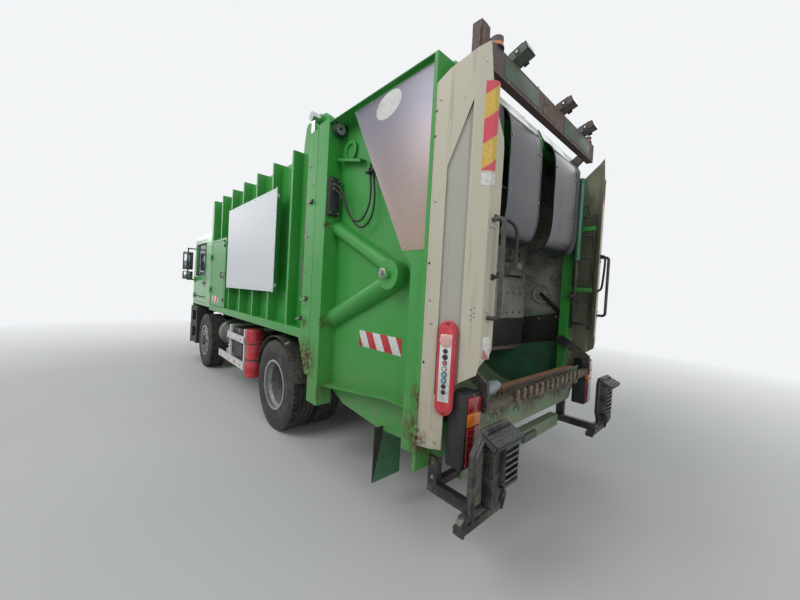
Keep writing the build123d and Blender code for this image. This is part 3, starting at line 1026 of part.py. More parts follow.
# Rear side covers: one bent sheet each, cut to the cover's outline, with a pressed field in its bevel
CONTROL_Z = 1290.0                  # middle of the control box
POCKET_DEPTH = 14.0
POCKET_HALF = 73.0
POCKET_LOW = (1110.0, 1030.0)       # at the field's front and rear edges
POCKET_TOP = (2560.0, 2960.0)
COVER_FRONT = SEAM_Y + SEAM_LEN + FACE_GAP
cover_plan = [(BODY_HALF - 4, COVER_FRONT - 30), (BODY_HALF - 4, COVER_FRONT + 20), (BODY_HALF - 15, 3570),
              (BODY_HALF - 85, 3725), (BODY_HALF - 155, 3815), (CLEAR_HALF + 6, 3832)]
cover_outline = [(COVER_FRONT, 740), (3640, 760), (3640, 1150), (3800, 1260), (3845, 1500), (3845, 2520),
                 (3780, 3300), (COVER_FRONT, 3115)]
bevel_start = Vector(cover_plan[2][0], cover_plan[2][1])
bevel_end = Vector(cover_plan[3][0], cover_plan[3][1])
bevel_mid = (bevel_start + bevel_end) / 2
bevel_dir = (bevel_end - bevel_start).normalized()
bevel_face = Plane(origin=(bevel_mid.X, bevel_mid.Y, CONTROL_Z), x_dir=(0, 0, 1),
                   z_dir=(bevel_dir.Y, -bevel_dir.X, 0))


def pocket(grow, levels, mode=Mode.ADD):
    """The pressed field of a cover's bevel, larger by grow, between two (low, high) levels off its face."""
    half = POCKET_HALF + grow
    with BuildSketch(bevel_face.offset(levels[0])) as field:
        with BuildLine():
            Polyline((POCKET_LOW[0] - grow - CONTROL_Z, half), (POCKET_LOW[1] - grow - CONTROL_Z, -half),
                     (POCKET_TOP[1] + grow - CONTROL_Z, -half), (POCKET_TOP[0] + grow - CONTROL_Z, half),
                     close=True)
        make_face()
    extrude(field.sketch, amount=levels[1] - levels[0], mode=mode)


with BuildPart() as side_covers:
    flat_plate(bent_sheet(cover_plan, GATE_WALL), (700, 3330))
    pocket(GATE_WALL, (-POCKET_DEPTH - GATE_WALL, -1))
    pocket(0, (-POCKET_DEPTH, 1), Mode.SUBTRACT)
    side_plate(cover_outline, (0, BODY_HALF + 10), mode=Mode.INTERSECT)
    box((POST_OUT + FACE_GAP, BODY_HALF - 12), (REAR_POST[0] + 30, REAR_POST[0] + 60), (1300, 1340))
    box((POST_OUT + FACE_GAP, BODY_HALF - 12), (REAR_POST[0] + 30, REAR_POST[0] + 60), (2600, 2640))
    mirror(about=Plane.YZ)
keep(side_covers, "side_covers")

# Black guards over the packer's cylinders
GUARD_IN = 140.0
GUARD_OUT = 655.0
GUARD_SHEET = 8.0
eave_top = Vector(REAR_POST[0] + EAVE, GATE_TOP)
eave_foot = Vector(REAR_POST[1], EAVE_LOW)
eave_dir = (eave_foot - eave_top).normalized()
eave_out = Vector(-eave_dir.Y, eave_dir.X)


def on_eave(distance, clear):
    """The (y, z) point at a distance down the roof's rear slope, standing clear of it."""
    point = eave_top + eave_dir * distance + eave_out * clear
    return (point.X, point.Y)


guard_path = [on_eave(0, FACE_GAP + GUARD_SHEET), on_eave(135, FACE_GAP + GUARD_SHEET), (3630, 3150),
              (3668, 3060), (3680, 2920), (3680, 2450), (3660, 2310), (3600, 2220), (3480, 2180)]
with BuildPart() as guard_bands:
    side_plate(bent_sheet(guard_path, -GUARD_SHEET), (GUARD_IN, GUARD_OUT))
    mirror(about=Plane.YZ)
keep(guard_bands, "guard_bands")

# Light bar behind the roof's edge: a hollow beam with tilted work lamps and round beacons on it
BAR_Y = (3610.0, 3670.0)
BAR_Z = (3275.0, 3455.0)
BAR_WALL = 5.0
BAR_MID_Y = sum(BAR_Y) / 2
LAMP_W = 120.0
LAMP_LEN = 140.0
LAMP_TILT = 20.0          # of a work lamp's rear end above the horizon
WORK_LAMPS = (600.0, -250.0, -800.0)
BEACONS = ((850.0, 45.0, 75.0), (-985.0, 34.0, 60.0))      # (x, radius, height)
SIDE_LAMP = (PANEL_X - 75.0, PANEL_X - 5.0)
with BuildPart() as light_bar:
    box((-PANEL_X, PANEL_X), BAR_Y, BAR_Z)
    box((-PANEL_X + BAR_WALL, PANEL_X - BAR_WALL), (BAR_Y[0] + BAR_WALL, BAR_Y[1] - BAR_WALL),
        (BAR_Z[0] + BAR_WALL, BAR_Z[1] - BAR_WALL), mode=Mode.SUBTRACT)
    for stay_x in (-CLEAR_HALF - 15, CLEAR_HALF + 15):
        side_plate([on_eave(15, FACE_GAP), (BAR_Y[0] + 1, BAR_Z[1] - 60), (BAR_Y[0] + 1, BAR_Z[0] + 20),
                    on_eave(115, FACE_GAP)], (stay_x - 20, stay_x + 20))
    for lamp_x in WORK_LAMPS:
        box((lamp_x - 25, lamp_x + 25), (BAR_MID_Y - 15, BAR_MID_Y + 15), (BAR_Z[1] - 1, BAR_Z[1] + 35))
        with Locations(Location((lamp_x, BAR_Y[1] + 20, BAR_Z[1] + 65), (LAMP_TILT, 0, 0))):
            Box(LAMP_W, LAMP_LEN, 60)
    for beacon_x, beacon_r, beacon_h in BEACONS:
        pin_z(beacon_x, BAR_MID_Y, (BAR_Z[1] - 1, BAR_Z[1] + beacon_h), beacon_r)
    box(SIDE_LAMP, (BAR_MID_Y - 35, BAR_MID_Y + 35), (BAR_Z[1] - 1, BAR_Z[1] + 60))
    box((SIDE_LAMP[0] + 10, SIDE_LAMP[1] - 10), (BAR_Y[1] - 1, BAR_Y[1] + 30), (BAR_Z[0] + 20, BAR_Z[1] + 20))
keep(light_bar, "light_bar")

# Tail lamps under the side covers
TAIL_TOP = 1140.0
with BuildPart() as tail_lamps:
    box((CLEAR_HALF + 10, CLEAR_HALF + 180), (3645, 3775), (660, TAIL_TOP))
    box((CLEAR_HALF + 14, CLEAR_HALF + 110), (3774, 3790), (680, TAIL_TOP - 20))
    box((CLEAR_HALF + 20, POST_OUT), (REAR_POST[1] + FACE_GAP, 3646), (900, 960))
    mirror(about=Plane.YZ)
keep(tail_lamps, "tail_lamps")

# Control box on the left cover's bevel
CONTROL_LEN = 600.0
CONTROL_W = 115.0
CONTROL_DEPTH = 55.0
with BuildPart() as control_box:
    with BuildSketch(bevel_face.offset(FACE_GAP)) as panel:
        Rectangle(CONTROL_LEN, CONTROL_W)
    extrude(panel.sketch, amount=CONTROL_DEPTH - FACE_GAP)
    seat_low = TAIL_TOP + 5 - CONTROL_Z
    with BuildSketch(bevel_face.offset(FACE_GAP - POCKET_DEPTH)) as seat:
        with Locations(((seat_low + CONTROL_LEN / 2) / 2, 0)):
            Rectangle(CONTROL_LEN / 2 - seat_low, CONTROL_W)
    extrude(seat.sketch, amount=POCKET_DEPTH)
keep(control_box, "control_box")

# Grab handles on the covers' rear edges
HANDLE_X = BODY_HALF - 200.0
HANDLE_R = 14.0
HANDLE_Z = (1620.0, 2230.0)
HANDLE_OUT_Y = 3900.0
rear_slope = (cover_plan[5][1] - cover_plan[4][1]) / (cover_plan[4][0] - cover_plan[5][0])
handle_foot_y = cover_plan[4][1] + (cover_plan[4][0] - HANDLE_X + HANDLE_R) * rear_slope + FACE_GAP
with BuildPart() as grab_handles:
    with BuildLine() as handle_path:
        FilletPolyline((HANDLE_X, handle_foot_y, HANDLE_Z[0]), (HANDLE_X, HANDLE_OUT_Y, HANDLE_Z[0]),
                       (HANDLE_X, HANDLE_OUT_Y, HANDLE_Z[1]), (HANDLE_X, handle_foot_y, HANDLE_Z[1]),
                       radius=30)
    with BuildSketch(Plane(origin=handle_path.line @ 0, z_dir=handle_path.line % 0)) as handle_section:
        Circle(HANDLE_R)
    sweep(handle_section.sketch, path=handle_path.line)
    mirror(about=Plane.YZ)
keep(grab_handles, "grab_handles")

# Underrun beam, its hangers and the step carriers
BEAM_HALF = STEP_X - 230.0
CARRIER_Z = (390.0, 465.0)
with BuildPart() as underrun_beam:
    box((-BEAM_HALF, BEAM_HALF), (3490, 3570), (410, 530))
    for side in (-1, 1):
        carrier = sorted((side * (STEP_X - 25), side * (STEP_X + 25)))
        side_plate([(REAR_POST[0], POST_BOTTOM - FACE_GAP), (REAR_POST[1], POST_BOTTOM - FACE_GAP),
                    (REAR_POST[1], CARRIER_Z[1]), (STEP_Y - 60, CARRIER_Z[1]), (STEP_Y, CARRIER_Z[1] - 30),
                    (STEP_Y, CARRIER_Z[0]), (REAR_POST[0], CARRIER_Z[0])], carrier)
        box(sorted((side * (BEAM_HALF - 40), side * STEP_X)), (3500, 3550), (430, 480))
        for ear_x in (-STEP_HALF - SIDE_GAP - 14, STEP_HALF + SIDE_GAP):
            centre = side * STEP_X + ear_x
            side_plate([(STEP_Y - 60, CARRIER_Z[0]), (STEP_Y + 10, CARRIER_Z[0]), (STEP_Y + 30, STEP_Z),
                        (STEP_Y - 30, STEP_Z)], (centre, centre + 14))
            pin_x(STEP_Y, STEP_Z, (centre, centre + 14), 30)
        ears = (side * STEP_X - STEP_HALF - SIDE_GAP - 14, side * STEP_X + STEP_HALF + SIDE_GAP + 14)
        box(ears, (STEP_Y - 60, STEP_Y), (CARRIER_Z[0], CARRIER_Z[0] + 45))
        pin_x(STEP_Y, STEP_Z, ears, 12)
keep(underrun_beam, "underrun_beam")

# Folding steps, one on each rear corner
for ending, side in (("left", 1), ("right", -1)):
    centre = side * STEP_X
    with BuildPart() as folding_step:
        pin_x(STEP_Y, STEP_Z, (centre - STEP_HALF, centre + STEP_HALF), 28)
        box((centre - STEP_HALF, centre + STEP_HALF), (STEP_Y, STEP_Y + 40), (STEP_Z, STEP_Z + STEP_H))
        for opening in range(4):
            opening_z = STEP_Z + 70 + 110 * opening
            box((centre - STEP_HALF + 45, centre + STEP_HALF - 45), (STEP_Y - 1, STEP_Y + 41),
                (opening_z, opening_z + 70), mode=Mode.SUBTRACT)
        for ledge_z in (STEP_Z + 30, STEP_Z + STEP_H - 40):
            box((centre - STEP_HALF, centre + STEP_HALF), (STEP_Y + 40, STEP_Y + 155),
                (ledge_z, ledge_z + 40))
        pin_x(STEP_Y, STEP_Z, (centre - STEP_HALF - 1, centre + STEP_HALF + 1), 12 + PIN_FIT,
              Mode.SUBTRACT)
    keep(folding_step, f"step_{ending}")

# Packer carriage, with the clevises of the blade's pin and its guide pads
CARRIAGE_HALF_T = 60.0
CARRIAGE_TOP = 2950.0
CLEVIS_W = 60.0
BLADE_PIN_R = 30.0
blade_len = tub_r - BLADE_SWEEP_GAP
clevis_xs = (-BLADE_HALF, -CLEVIS_W / 2, BLADE_HALF - CLEVIS_W)
carriage_y = (BLADE_Y - CARRIAGE_HALF_T, BLADE_Y + CARRIAGE_HALF_T)
with BuildPart() as packer_carriage:
    box((-BLADE_HALF, BLADE_HALF), carriage_y, (BLADE_Z + 70, CARRIAGE_TOP))
    for clevis_x in clevis_xs:
        box((clevis_x, clevis_x + CLEVIS_W), carriage_y, (BLADE_Z, BLADE_Z + 71))
        pin_x(BLADE_Y, BLADE_Z, (clevis_x, clevis_x + CLEVIS_W), CARRIAGE_HALF_T - 2)
    pin_x(BLADE_Y, BLADE_Z, (-BLADE_HALF, BLADE_HALF), BLADE_PIN_R)
    for side in (-1, 1):
        for pad_z in (BLADE_Z + 100, BLADE_Z + 700):
            box(sorted((side * BLADE_HALF, side * (HOPPER_HALF - FACE_GAP))), (BLADE_Y - 40, BLADE_Y + 40),
                (pad_z, pad_z + 120))
    for pack_x in (-PACK_X, PACK_X):
        box((pack_x - 55, pack_x + 55), (carriage_y[1] - 1, PACK_Y + 60), (BLADE_Z + 110, BLADE_Z + 180))
        pin_z(pack_x, PACK_Y, (BLADE_Z + 140, GATE_TOP - 101), PACK_ROD_R)
keep(packer_carriage, "packer_carriage")

with BuildPart() as packer_blade:
    side_plate([(BLADE_Y - 55, BLADE_Z), (BLADE_Y + 55, BLADE_Z), (BLADE_Y + 75, BLADE_Z - 400),
                (BLADE_Y + 20, BLADE_Z - blade_len), (BLADE_Y - 25, BLADE_Z - blade_len),
                (BLADE_Y - 45, BLADE_Z - 400)], (-BLADE_HALF, BLADE_HALF))
    pin_x(BLADE_Y, BLADE_Z, (-BLADE_HALF, BLADE_HALF), 55)
    for clevis_x in clevis_xs:
        box((clevis_x - SIDE_GAP, clevis_x + CLEVIS_W + SIDE_GAP), (BLADE_Y - 90, BLADE_Y + 90),
            (BLADE_Z - 66, BLADE_Z + 66), mode=Mode.SUBTRACT)
    pin_x(BLADE_Y, BLADE_Z, (-BLADE_HALF - 1, BLADE_HALF + 1), BLADE_PIN_R + PIN_FIT, Mode.SUBTRACT)
keep(packer_blade, "packer_blade")

# Bin lift: two arms and a toothed comb beam behind the lip
LIFT_ARM_X = CLEAR_HALF - 35.0
LIFT_ARM_W = 30.0
COMB_Y = 3790.0
COMB_Z = 1000.0
with BuildPart() as bin_lift:
    for side in (-1, 1):
        arm_x = sorted((side * LIFT_ARM_X, side * (LIFT_ARM_X + LIFT_ARM_W)))
        side_plate([(LIFTER_Y - 35, LIFTER_Z + 20), (LIFTER_Y + 40, LIFTER_Z + 30),
                    (COMB_Y + 20, COMB_Z + 190), (COMB_Y + 30, COMB_Z), (COMB_Y - 40, COMB_Z),
                    (COMB_Y - 45, COMB_Z + 150), (LIFTER_Y - 20, LIFTER_Z - 40)], arm_x)
        pin_x(LIFTER_Y, LIFTER_Z, arm_x, 45)
        pin_x(LIFTER_Y, LIFTER_Z, sorted((side * LIFT_ARM_X, side * (CLEAR_HALF + 40))), LIFTER_PIN_R)
    box((-LIFT_ARM_X - 1, LIFT_ARM_X + 1), (COMB_Y - 30, COMB_Y + 20), (COMB_Z, COMB_Z + 60))
    for tooth in range(-6, 7):
        box((tooth * 100 - 22, tooth * 100 + 22), (COMB_Y + 19, COMB_Y + 45), (COMB_Z + 10, COMB_Z + 95))
keep(bin_lift, "bin_lift")

# Tailgate lift cylinders: barrels on the rear frame's feet, rods up to the hinge arms
lift_len = hypot(LIFT_EYE_Y - LIFT_FOOT_Y, LIFT_EYE_Z - LIFT_FOOT_Z)


def along_lift(distance):
    """The point at a distance up the left lift cylinder from its foot pin."""
    share = distance / lift_len
    return (LIFT_X, LIFT_FOOT_Y + share * (LIFT_EYE_Y - LIFT_FOOT_Y),
            LIFT_FOOT_Z + share * (LIFT_EYE_Z - LIFT_FOOT_Z))


with BuildPart() as lift_barrels:
    bar(along_lift(60), along_lift(60 + BARREL_LEN), BARREL_R)
    bar(along_lift(0), along_lift(70), 26)
    pin_x(LIFT_FOOT_Y, LIFT_FOOT_Z, (LIFT_X - 30, LIFT_X + 30), 44)
    bar(along_lift(120), along_lift(61 + BARREL_LEN), ROD_R + PIN_FIT, Mode.SUBTRACT)
    pin_x(LIFT_FOOT_Y, LIFT_FOOT_Z, (LIFT_X - 31, LIFT_X + 31), FOOT_PIN_R + PIN_FIT, Mode.SUBTRACT)
    mirror(about=Plane.YZ)
keep(lift_barrels, "lift_barrels")

with BuildPart() as lift_rods:
    bar(along_lift(160), along_lift(lift_len), ROD_R)
    pin_x(LIFT_EYE_Y, LIFT_EYE_Z, (WALL_X + 1, LIFT_X + 35), 48)
    mirror(about=Plane.YZ)
keep(lift_rods, "lift_rods")
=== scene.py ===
"""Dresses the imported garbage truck: finishes, fittings, lamps and markings, in metres.

The truck's front faces -Y, its left side is +X and +Z is up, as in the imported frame.
"""

import random
from math import cos, pi, radians, sin

import bmesh
import bpy
from bpy.props import FloatProperty, FloatVectorProperty, IntProperty, PointerProperty
from mathutils import Matrix, Vector


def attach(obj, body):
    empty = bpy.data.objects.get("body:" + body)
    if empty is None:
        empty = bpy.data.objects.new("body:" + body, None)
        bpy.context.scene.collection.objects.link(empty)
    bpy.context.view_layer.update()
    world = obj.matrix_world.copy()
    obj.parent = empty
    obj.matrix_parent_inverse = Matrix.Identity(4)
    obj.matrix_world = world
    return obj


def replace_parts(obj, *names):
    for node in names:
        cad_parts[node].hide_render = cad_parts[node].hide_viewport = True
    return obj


bl_info = {
    "name": "Garbage Truck Dressing",
    "version": (1, 0, 0),
    "blender": (4, 5, 0),
    "location": "3D View > Sidebar > Truck",
    "description": "Builds the looks of a rear-loading garbage truck around its packed frame",
    "category": "Object",
}

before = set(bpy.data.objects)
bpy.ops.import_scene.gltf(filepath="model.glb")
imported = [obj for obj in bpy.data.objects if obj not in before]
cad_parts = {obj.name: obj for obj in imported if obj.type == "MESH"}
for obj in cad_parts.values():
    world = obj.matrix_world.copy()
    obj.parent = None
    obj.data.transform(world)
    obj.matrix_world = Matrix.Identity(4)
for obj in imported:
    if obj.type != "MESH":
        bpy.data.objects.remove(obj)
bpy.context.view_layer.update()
HERE = Matrix.Identity(4)


def linear(code):
    """The linear colour of an sRGB hex value."""
    parts = [int(code[n:n + 2], 16) / 255 for n in (1, 3, 5)]
    return [p / 12.92 if p <= 0.04045 else ((p + 0.055) / 1.055) ** 2.4 for p in parts]


def colour(name, code, text):
    """A colour property with its default as an sRGB hex value."""
    return FloatVectorProperty(name=name, description=text, subtype="COLOR", size=3, min=0, max=1,
                               default=linear(code))


def length(name, default, text):
    """A length property in metres."""
    return FloatProperty(name=name, description=text, unit="LENGTH", default=default, min=0.0005)


class TruckColours(bpy.types.PropertyGroup):
    """Colours that a user would change"""

    body: colour("Body paint", "#2c9133", "Enamel of the load body and the tailgate")
    cab: colour("Cab paint", "#389b44", "Clear-coated enamel of the cab")
    cover: colour("Cover paint", "#b9b29d", "Enamel of the rear side covers")
    sign: colour("Sign panel", "#cdd1d6", "Coating of the plain side panels")
    dark: colour("Guards", "#24232b", "Satin slate of the mouth's guards")
    signal: colour("Signal red", "#c0303a", "Moulded red of the control box and extinguisher box")
    rim: colour("Rims", "#8f918f", "Silver enamel of the wheels")
    dust: colour("Dust", "#8d8371", "Road dust on the lower parts")
    rust: colour("Rust", "#5e3620", "Rust at seams and edges")


class TruckSizes(bpy.types.PropertyGroup):
    """Sizes that a user would change"""

    bolt: length("Bolt head", 0.024, "Across the corners of a bolt's head")
    tread: length("Tread depth", 0.013, "Depth of the grooves in a tyre's tread")
    blocks: IntProperty(name="Tread blocks", description="Blocks round a tyre's tread", default=54, min=12,
                        max=90)
    nut_circle: length("Nut circle", 0.1675, "Radius of the circle of wheel nuts")
    stripe: length("Stripe pitch", 0.20, "Pitch of the red and white marking stripes")
    button: length("Button", 0.034, "Width of a button on the control box")


# Node and material tools

def add(tree, kind, links=None, **settings):
    """Adds a node with its settings; links gives each input a socket or a value."""
    node = tree.nodes.new("ShaderNode" + kind)
    for key, value in settings.items():
        setattr(node, key, value)
    for key, value in (links or {}).items():
        if isinstance(value, bpy.types.NodeSocket):
            tree.links.new(value, node.inputs[key])
        else:
            node.inputs[key].default_value = value
    return node


def tone(value):
    """A linear colour from an sRGB hex value or the name of a panel colour; a colour stays as it is."""
    if not isinstance(value, str):
        return value
    return linear(value) if value[0] == "#" else list(getattr(bpy.context.scene.truck_colours, value))


def material(name, base, rough, metallic=0.0, **sockets):
    """A new material with its Principled shader, and the tree's Object coordinate."""
    made = bpy.data.materials.new(name)
    made.use_nodes = True
    tree = made.node_tree
    shader = tree.nodes["Principled BSDF"]
    values = {"Base Color": (*tone(base), 1), "Roughness": rough, "Metallic": metallic}
    for key, value in {**values, **sockets}.items():
        shader.inputs[key.replace("_", " ")].default_value = value
    return made, tree, shader, add(tree, "TexCoord").outputs["Object"]


def noise(tree, place, size, low, high, detail=3.0, stretch=(1, 1, 1)):
    """Noise with a grain of the size given, in metres, ramped from 0 at low to 1 at high."""
    spread = add(tree, "Mapping", {"Vector": place, "Scale": [1 / (size * s) for s in stretch]})
    grain = add(tree, "TexNoise", {"Vector": spread.outputs[0], "Scale": 1.0, "Detail": detail})
    return ramp(tree, grain.outputs["Fac"], low, high)


def ramp(tree, value, low, high, to_low=0.0, to_high=1.0):
    """The value mapped from low..high to another range and held there."""
    links = {"Value": value, "From Min": low, "From Max": high, "To Min": to_low, "To Max": to_high}
    return add(tree, "MapRange", links).outputs["Result"]


def combine(tree, operation, first, second):
    """Two values put together by an arithmetic operation."""
    return add(tree, "Math", {0: first, 1: second}, operation=operation).outputs[0]


def times(tree, first, second):
    """Two values multiplied."""
    return combine(tree, "MULTIPLY", first, second)


def blend_colour(tree, share, first, second):
    """The first colour going to the second by a share."""
    first = first if isinstance(first, bpy.types.NodeSocket) else (*tone(first), 1)
    return add(tree, "Mix", {0: share, 6: first, 7: (*tone(second), 1)}, data_type="RGBA").outputs[2]


def height(tree, place, rise_from, rise_to):
    """1 at the lower height and 0 at the upper one, in metres above the ground."""
    up = add(tree, "SeparateXYZ", {"Vector": place}).outputs["Z"]
    return ramp(tree, up, rise_from, rise_to, 1.0, 0.0)


def patches(tree, place, spots):
    """1 near the (x, y, z, radius) spots and 0 away from them."""
    total = None
    for x, y, z, radius in spots:
        away = add(tree, "VectorMath", {0: place, 1: (x, y, z)}, operation="DISTANCE").outputs["Value"]
        near = ramp(tree, away, radius * 0.2, radius, 1.0, 0.0)
        total = near if total is None else combine(tree, "MAXIMUM", total, near)
    return total


def surface(tree, shader, colour=None, masks=(), rough=0.5, relief=None, depth=0.0, strength=1.0):
    """Links a colour, a roughness that goes to another at each mask, and relief of a depth in metres."""
    if colour:
        tree.links.new(colour, shader.inputs["Base Color"])
    for mask, end in masks:
        rough = add(tree, "Mix", {0: mask, 2: rough, 3: end}).outputs[0]
    if masks:
        tree.links.new(rough, shader.inputs["Roughness"])
    if relief:
        node = add(tree, "Bump", {"Height": relief, "Distance": depth, "Strength": strength})
        tree.links.new(node.outputs[0], shader.inputs["Normal"])


def enamel(name, base, rough, wear, spots=(), low=0.35, top=1.5, fade=0.12, coat=0.0):
    """Enamel on sheet steel: faded in clouds, streaked by rain, dusty low down and rusty at the spots."""
    base, dust = tone(base), tone("dust")
    made, tree, shader, place = material(name, base, rough, Coat_Weight=coat, Coat_Roughness=0.12)
    clouds = noise(tree, place, 0.7, 0.35, 0.65)
    final = blend_colour(tree, times(tree, clouds, fade), base, [c * 0.45 + 0.45 for c in base])
    runs = times(tree, noise(tree, place, 0.035, 0.56, 0.8, 5.0, (1, 1, 22)), wear)
    final = blend_colour(tree, runs, final, [c * 0.5 for c in dust])
    grime = times(tree, height(tree, place, low, top), noise(tree, place, 0.09, 0.3, 0.75, 6.0))
    grime = times(tree, grime, min(1.0, wear * 2.2))
    final = blend_colour(tree, grime, final, dust)
    chips = times(tree, noise(tree, place, 0.012, 0.7, 0.74, 2.0), noise(tree, place, 0.22, 0.5, 0.6))
    final = blend_colour(tree, times(tree, chips, min(1.0, wear * 2)), final, "rust")
    masks = [(runs, 0.6), (grime, 0.85), (chips, 0.9)]
    if spots:
        broken = times(tree, patches(tree, place, spots), noise(tree, place, 0.03, 0.36, 0.56, 8.0))
        final = blend_colour(tree, broken, final, "rust")
        deep = times(tree, broken, noise(tree, place, 0.008, 0.45, 0.6, 4.0))
        final = blend_colour(tree, deep, final, "#20140e")
        masks.append((broken, 0.95))
    surface(tree, shader, final, masks, rough, noise(tree, place, 0.004, 0.2, 0.8, 2.0), 0.0002, 0.35)
    return made


def grimy(name, base, rough, other, grain, share, metallic=0.0, depth=0.0006, stretch=(1, 1, 1), coat=0.0):
    """A surface whose second colour lies over it in grains of the size given, in metres."""
    made, tree, shader, place = material(name, base, rough, metallic, Coat_Weight=coat, Coat_Roughness=0.2)
    fine = noise(tree, place, grain, 0.35, 0.65, 6.0, stretch)
    mask = times(tree, times(tree, noise(tree, place, grain * 9, 0.38, 0.62, 4.0, stretch), fine), share)
    surface(tree, shader, blend_colour(tree, mask, tone(base), other), [(mask, min(0.95, rough + 0.35))],
            rough, fine, depth, 0.6)
    return made


def striped(name, first, second, pitch, slope, along, start=0.0):
    """Reflective film in diagonal stripes, mirrored where the axis is 0; slope is their lean over Z."""
    made, tree, shader, place = material(name, first, 0.35)
    parts = add(tree, "SeparateXYZ", {"Vector": place}).outputs
    flat = add(tree, "Math", {0: parts[along]}, operation="ABSOLUTE").outputs[0]
    line = combine(tree, "ADD", combine(tree, "ADD", flat, times(tree, parts["Z"], slope)), start)
    turn = combine(tree, "FRACT", combine(tree, "DIVIDE", line, pitch), 0.0)
    film = blend_colour(tree, ramp(tree, turn, 0.49, 0.51), first, second)
    film = blend_colour(tree, times(tree, noise(tree, place, 0.02, 0.45, 0.8, 5.0), 0.45), film, "#7c7466")
    cells = add(tree, "TexVoronoi", {"Vector": place, "Scale": 1 / 0.004})
    surface(tree, shader, film, relief=cells.outputs["Distance"], depth=0.0002, strength=0.3)
    return made


# Rusted spots as (x, y, z, radius): where the load body meets the tailgate, and at the tailgate's seams
SEAM_RUST = [(side * x, y, z, r) for side in (1, -1) for x, y, z, r in (
    (1.25, 1.85, 1.02, 0.26), (1.22, 3.45, 0.8, 0.2), (1.22, 3.455, 1.05, 0.12), (1.22, 2.2, 0.72, 0.14),
    (1.22, 2.11, 2.35, 0.06), (1.22, 2.14, 1.42, 0.09), (1.22, 2.4, 2.28, 0.05), (1.22, 1.79, 1.38, 0.09),
    (1.22, 1.72, 1.42, 0.06), (1.22, 3.1, 0.66, 0.12))]

# Enamels, as the values of enamel
ENAMELS = {
    # two-pack enamel sprayed on steel sheet: satin, faded, with rain streaks and rusted seams
    "body": ("sprayed_enamel_green", "body", 0.38, 0.3, SEAM_RUST, 0.5, 1.35, 0.06),
    # the same enamel inside the loading hopper, scraped and soiled by what it has carried
    "hopper": ("scraped_enamel_green", "#3c8057", 0.6, 0.9, [(x, 3.7, 0.9, 0.6) for x in (-0.7, 0.0, 0.7)],
               0.6, 2.6, 0.35),
    # base coat under clear lacquer: glossier and cleaner than the body
    "cab": ("lacquered_enamel_green", "cab", 0.28, 0.16, (), 1.0, 1.9, 0.04, 0.3),
    # air-dried enamel on pressed covers: chalky, with grey rain streaks
    "cover": ("chalked_enamel_cream", "cover", 0.5, 0.5, [(1.24, 3.46, 0.8, 0.1)], 0.5, 1.3, 0.14),
    # pressed field of the covers, where the cream is rubbed to its grey primer
    "field": ("rubbed_primer_grey", "#a3a194", 0.5, 0.35, (), 0.5, 1.3, 0.1),
    # coil-coated aluminium plate: flat, even and pale
    "sign": ("coil_coated_aluminium", "sign", 0.4, 0.1, (), 1.4, 1.75, 0.06),
    # the hopper's outside under the lip: pale, chalked green, rubbed bare and rusty
    "apron": ("rubbed_enamel_pale_green", "#5f8a68", 0.6, 0.95,
              [(x, 3.7, 1.0, 0.3) for x in (-0.6, 0.0, 0.6)], 0.7, 1.2, 0.3),
}

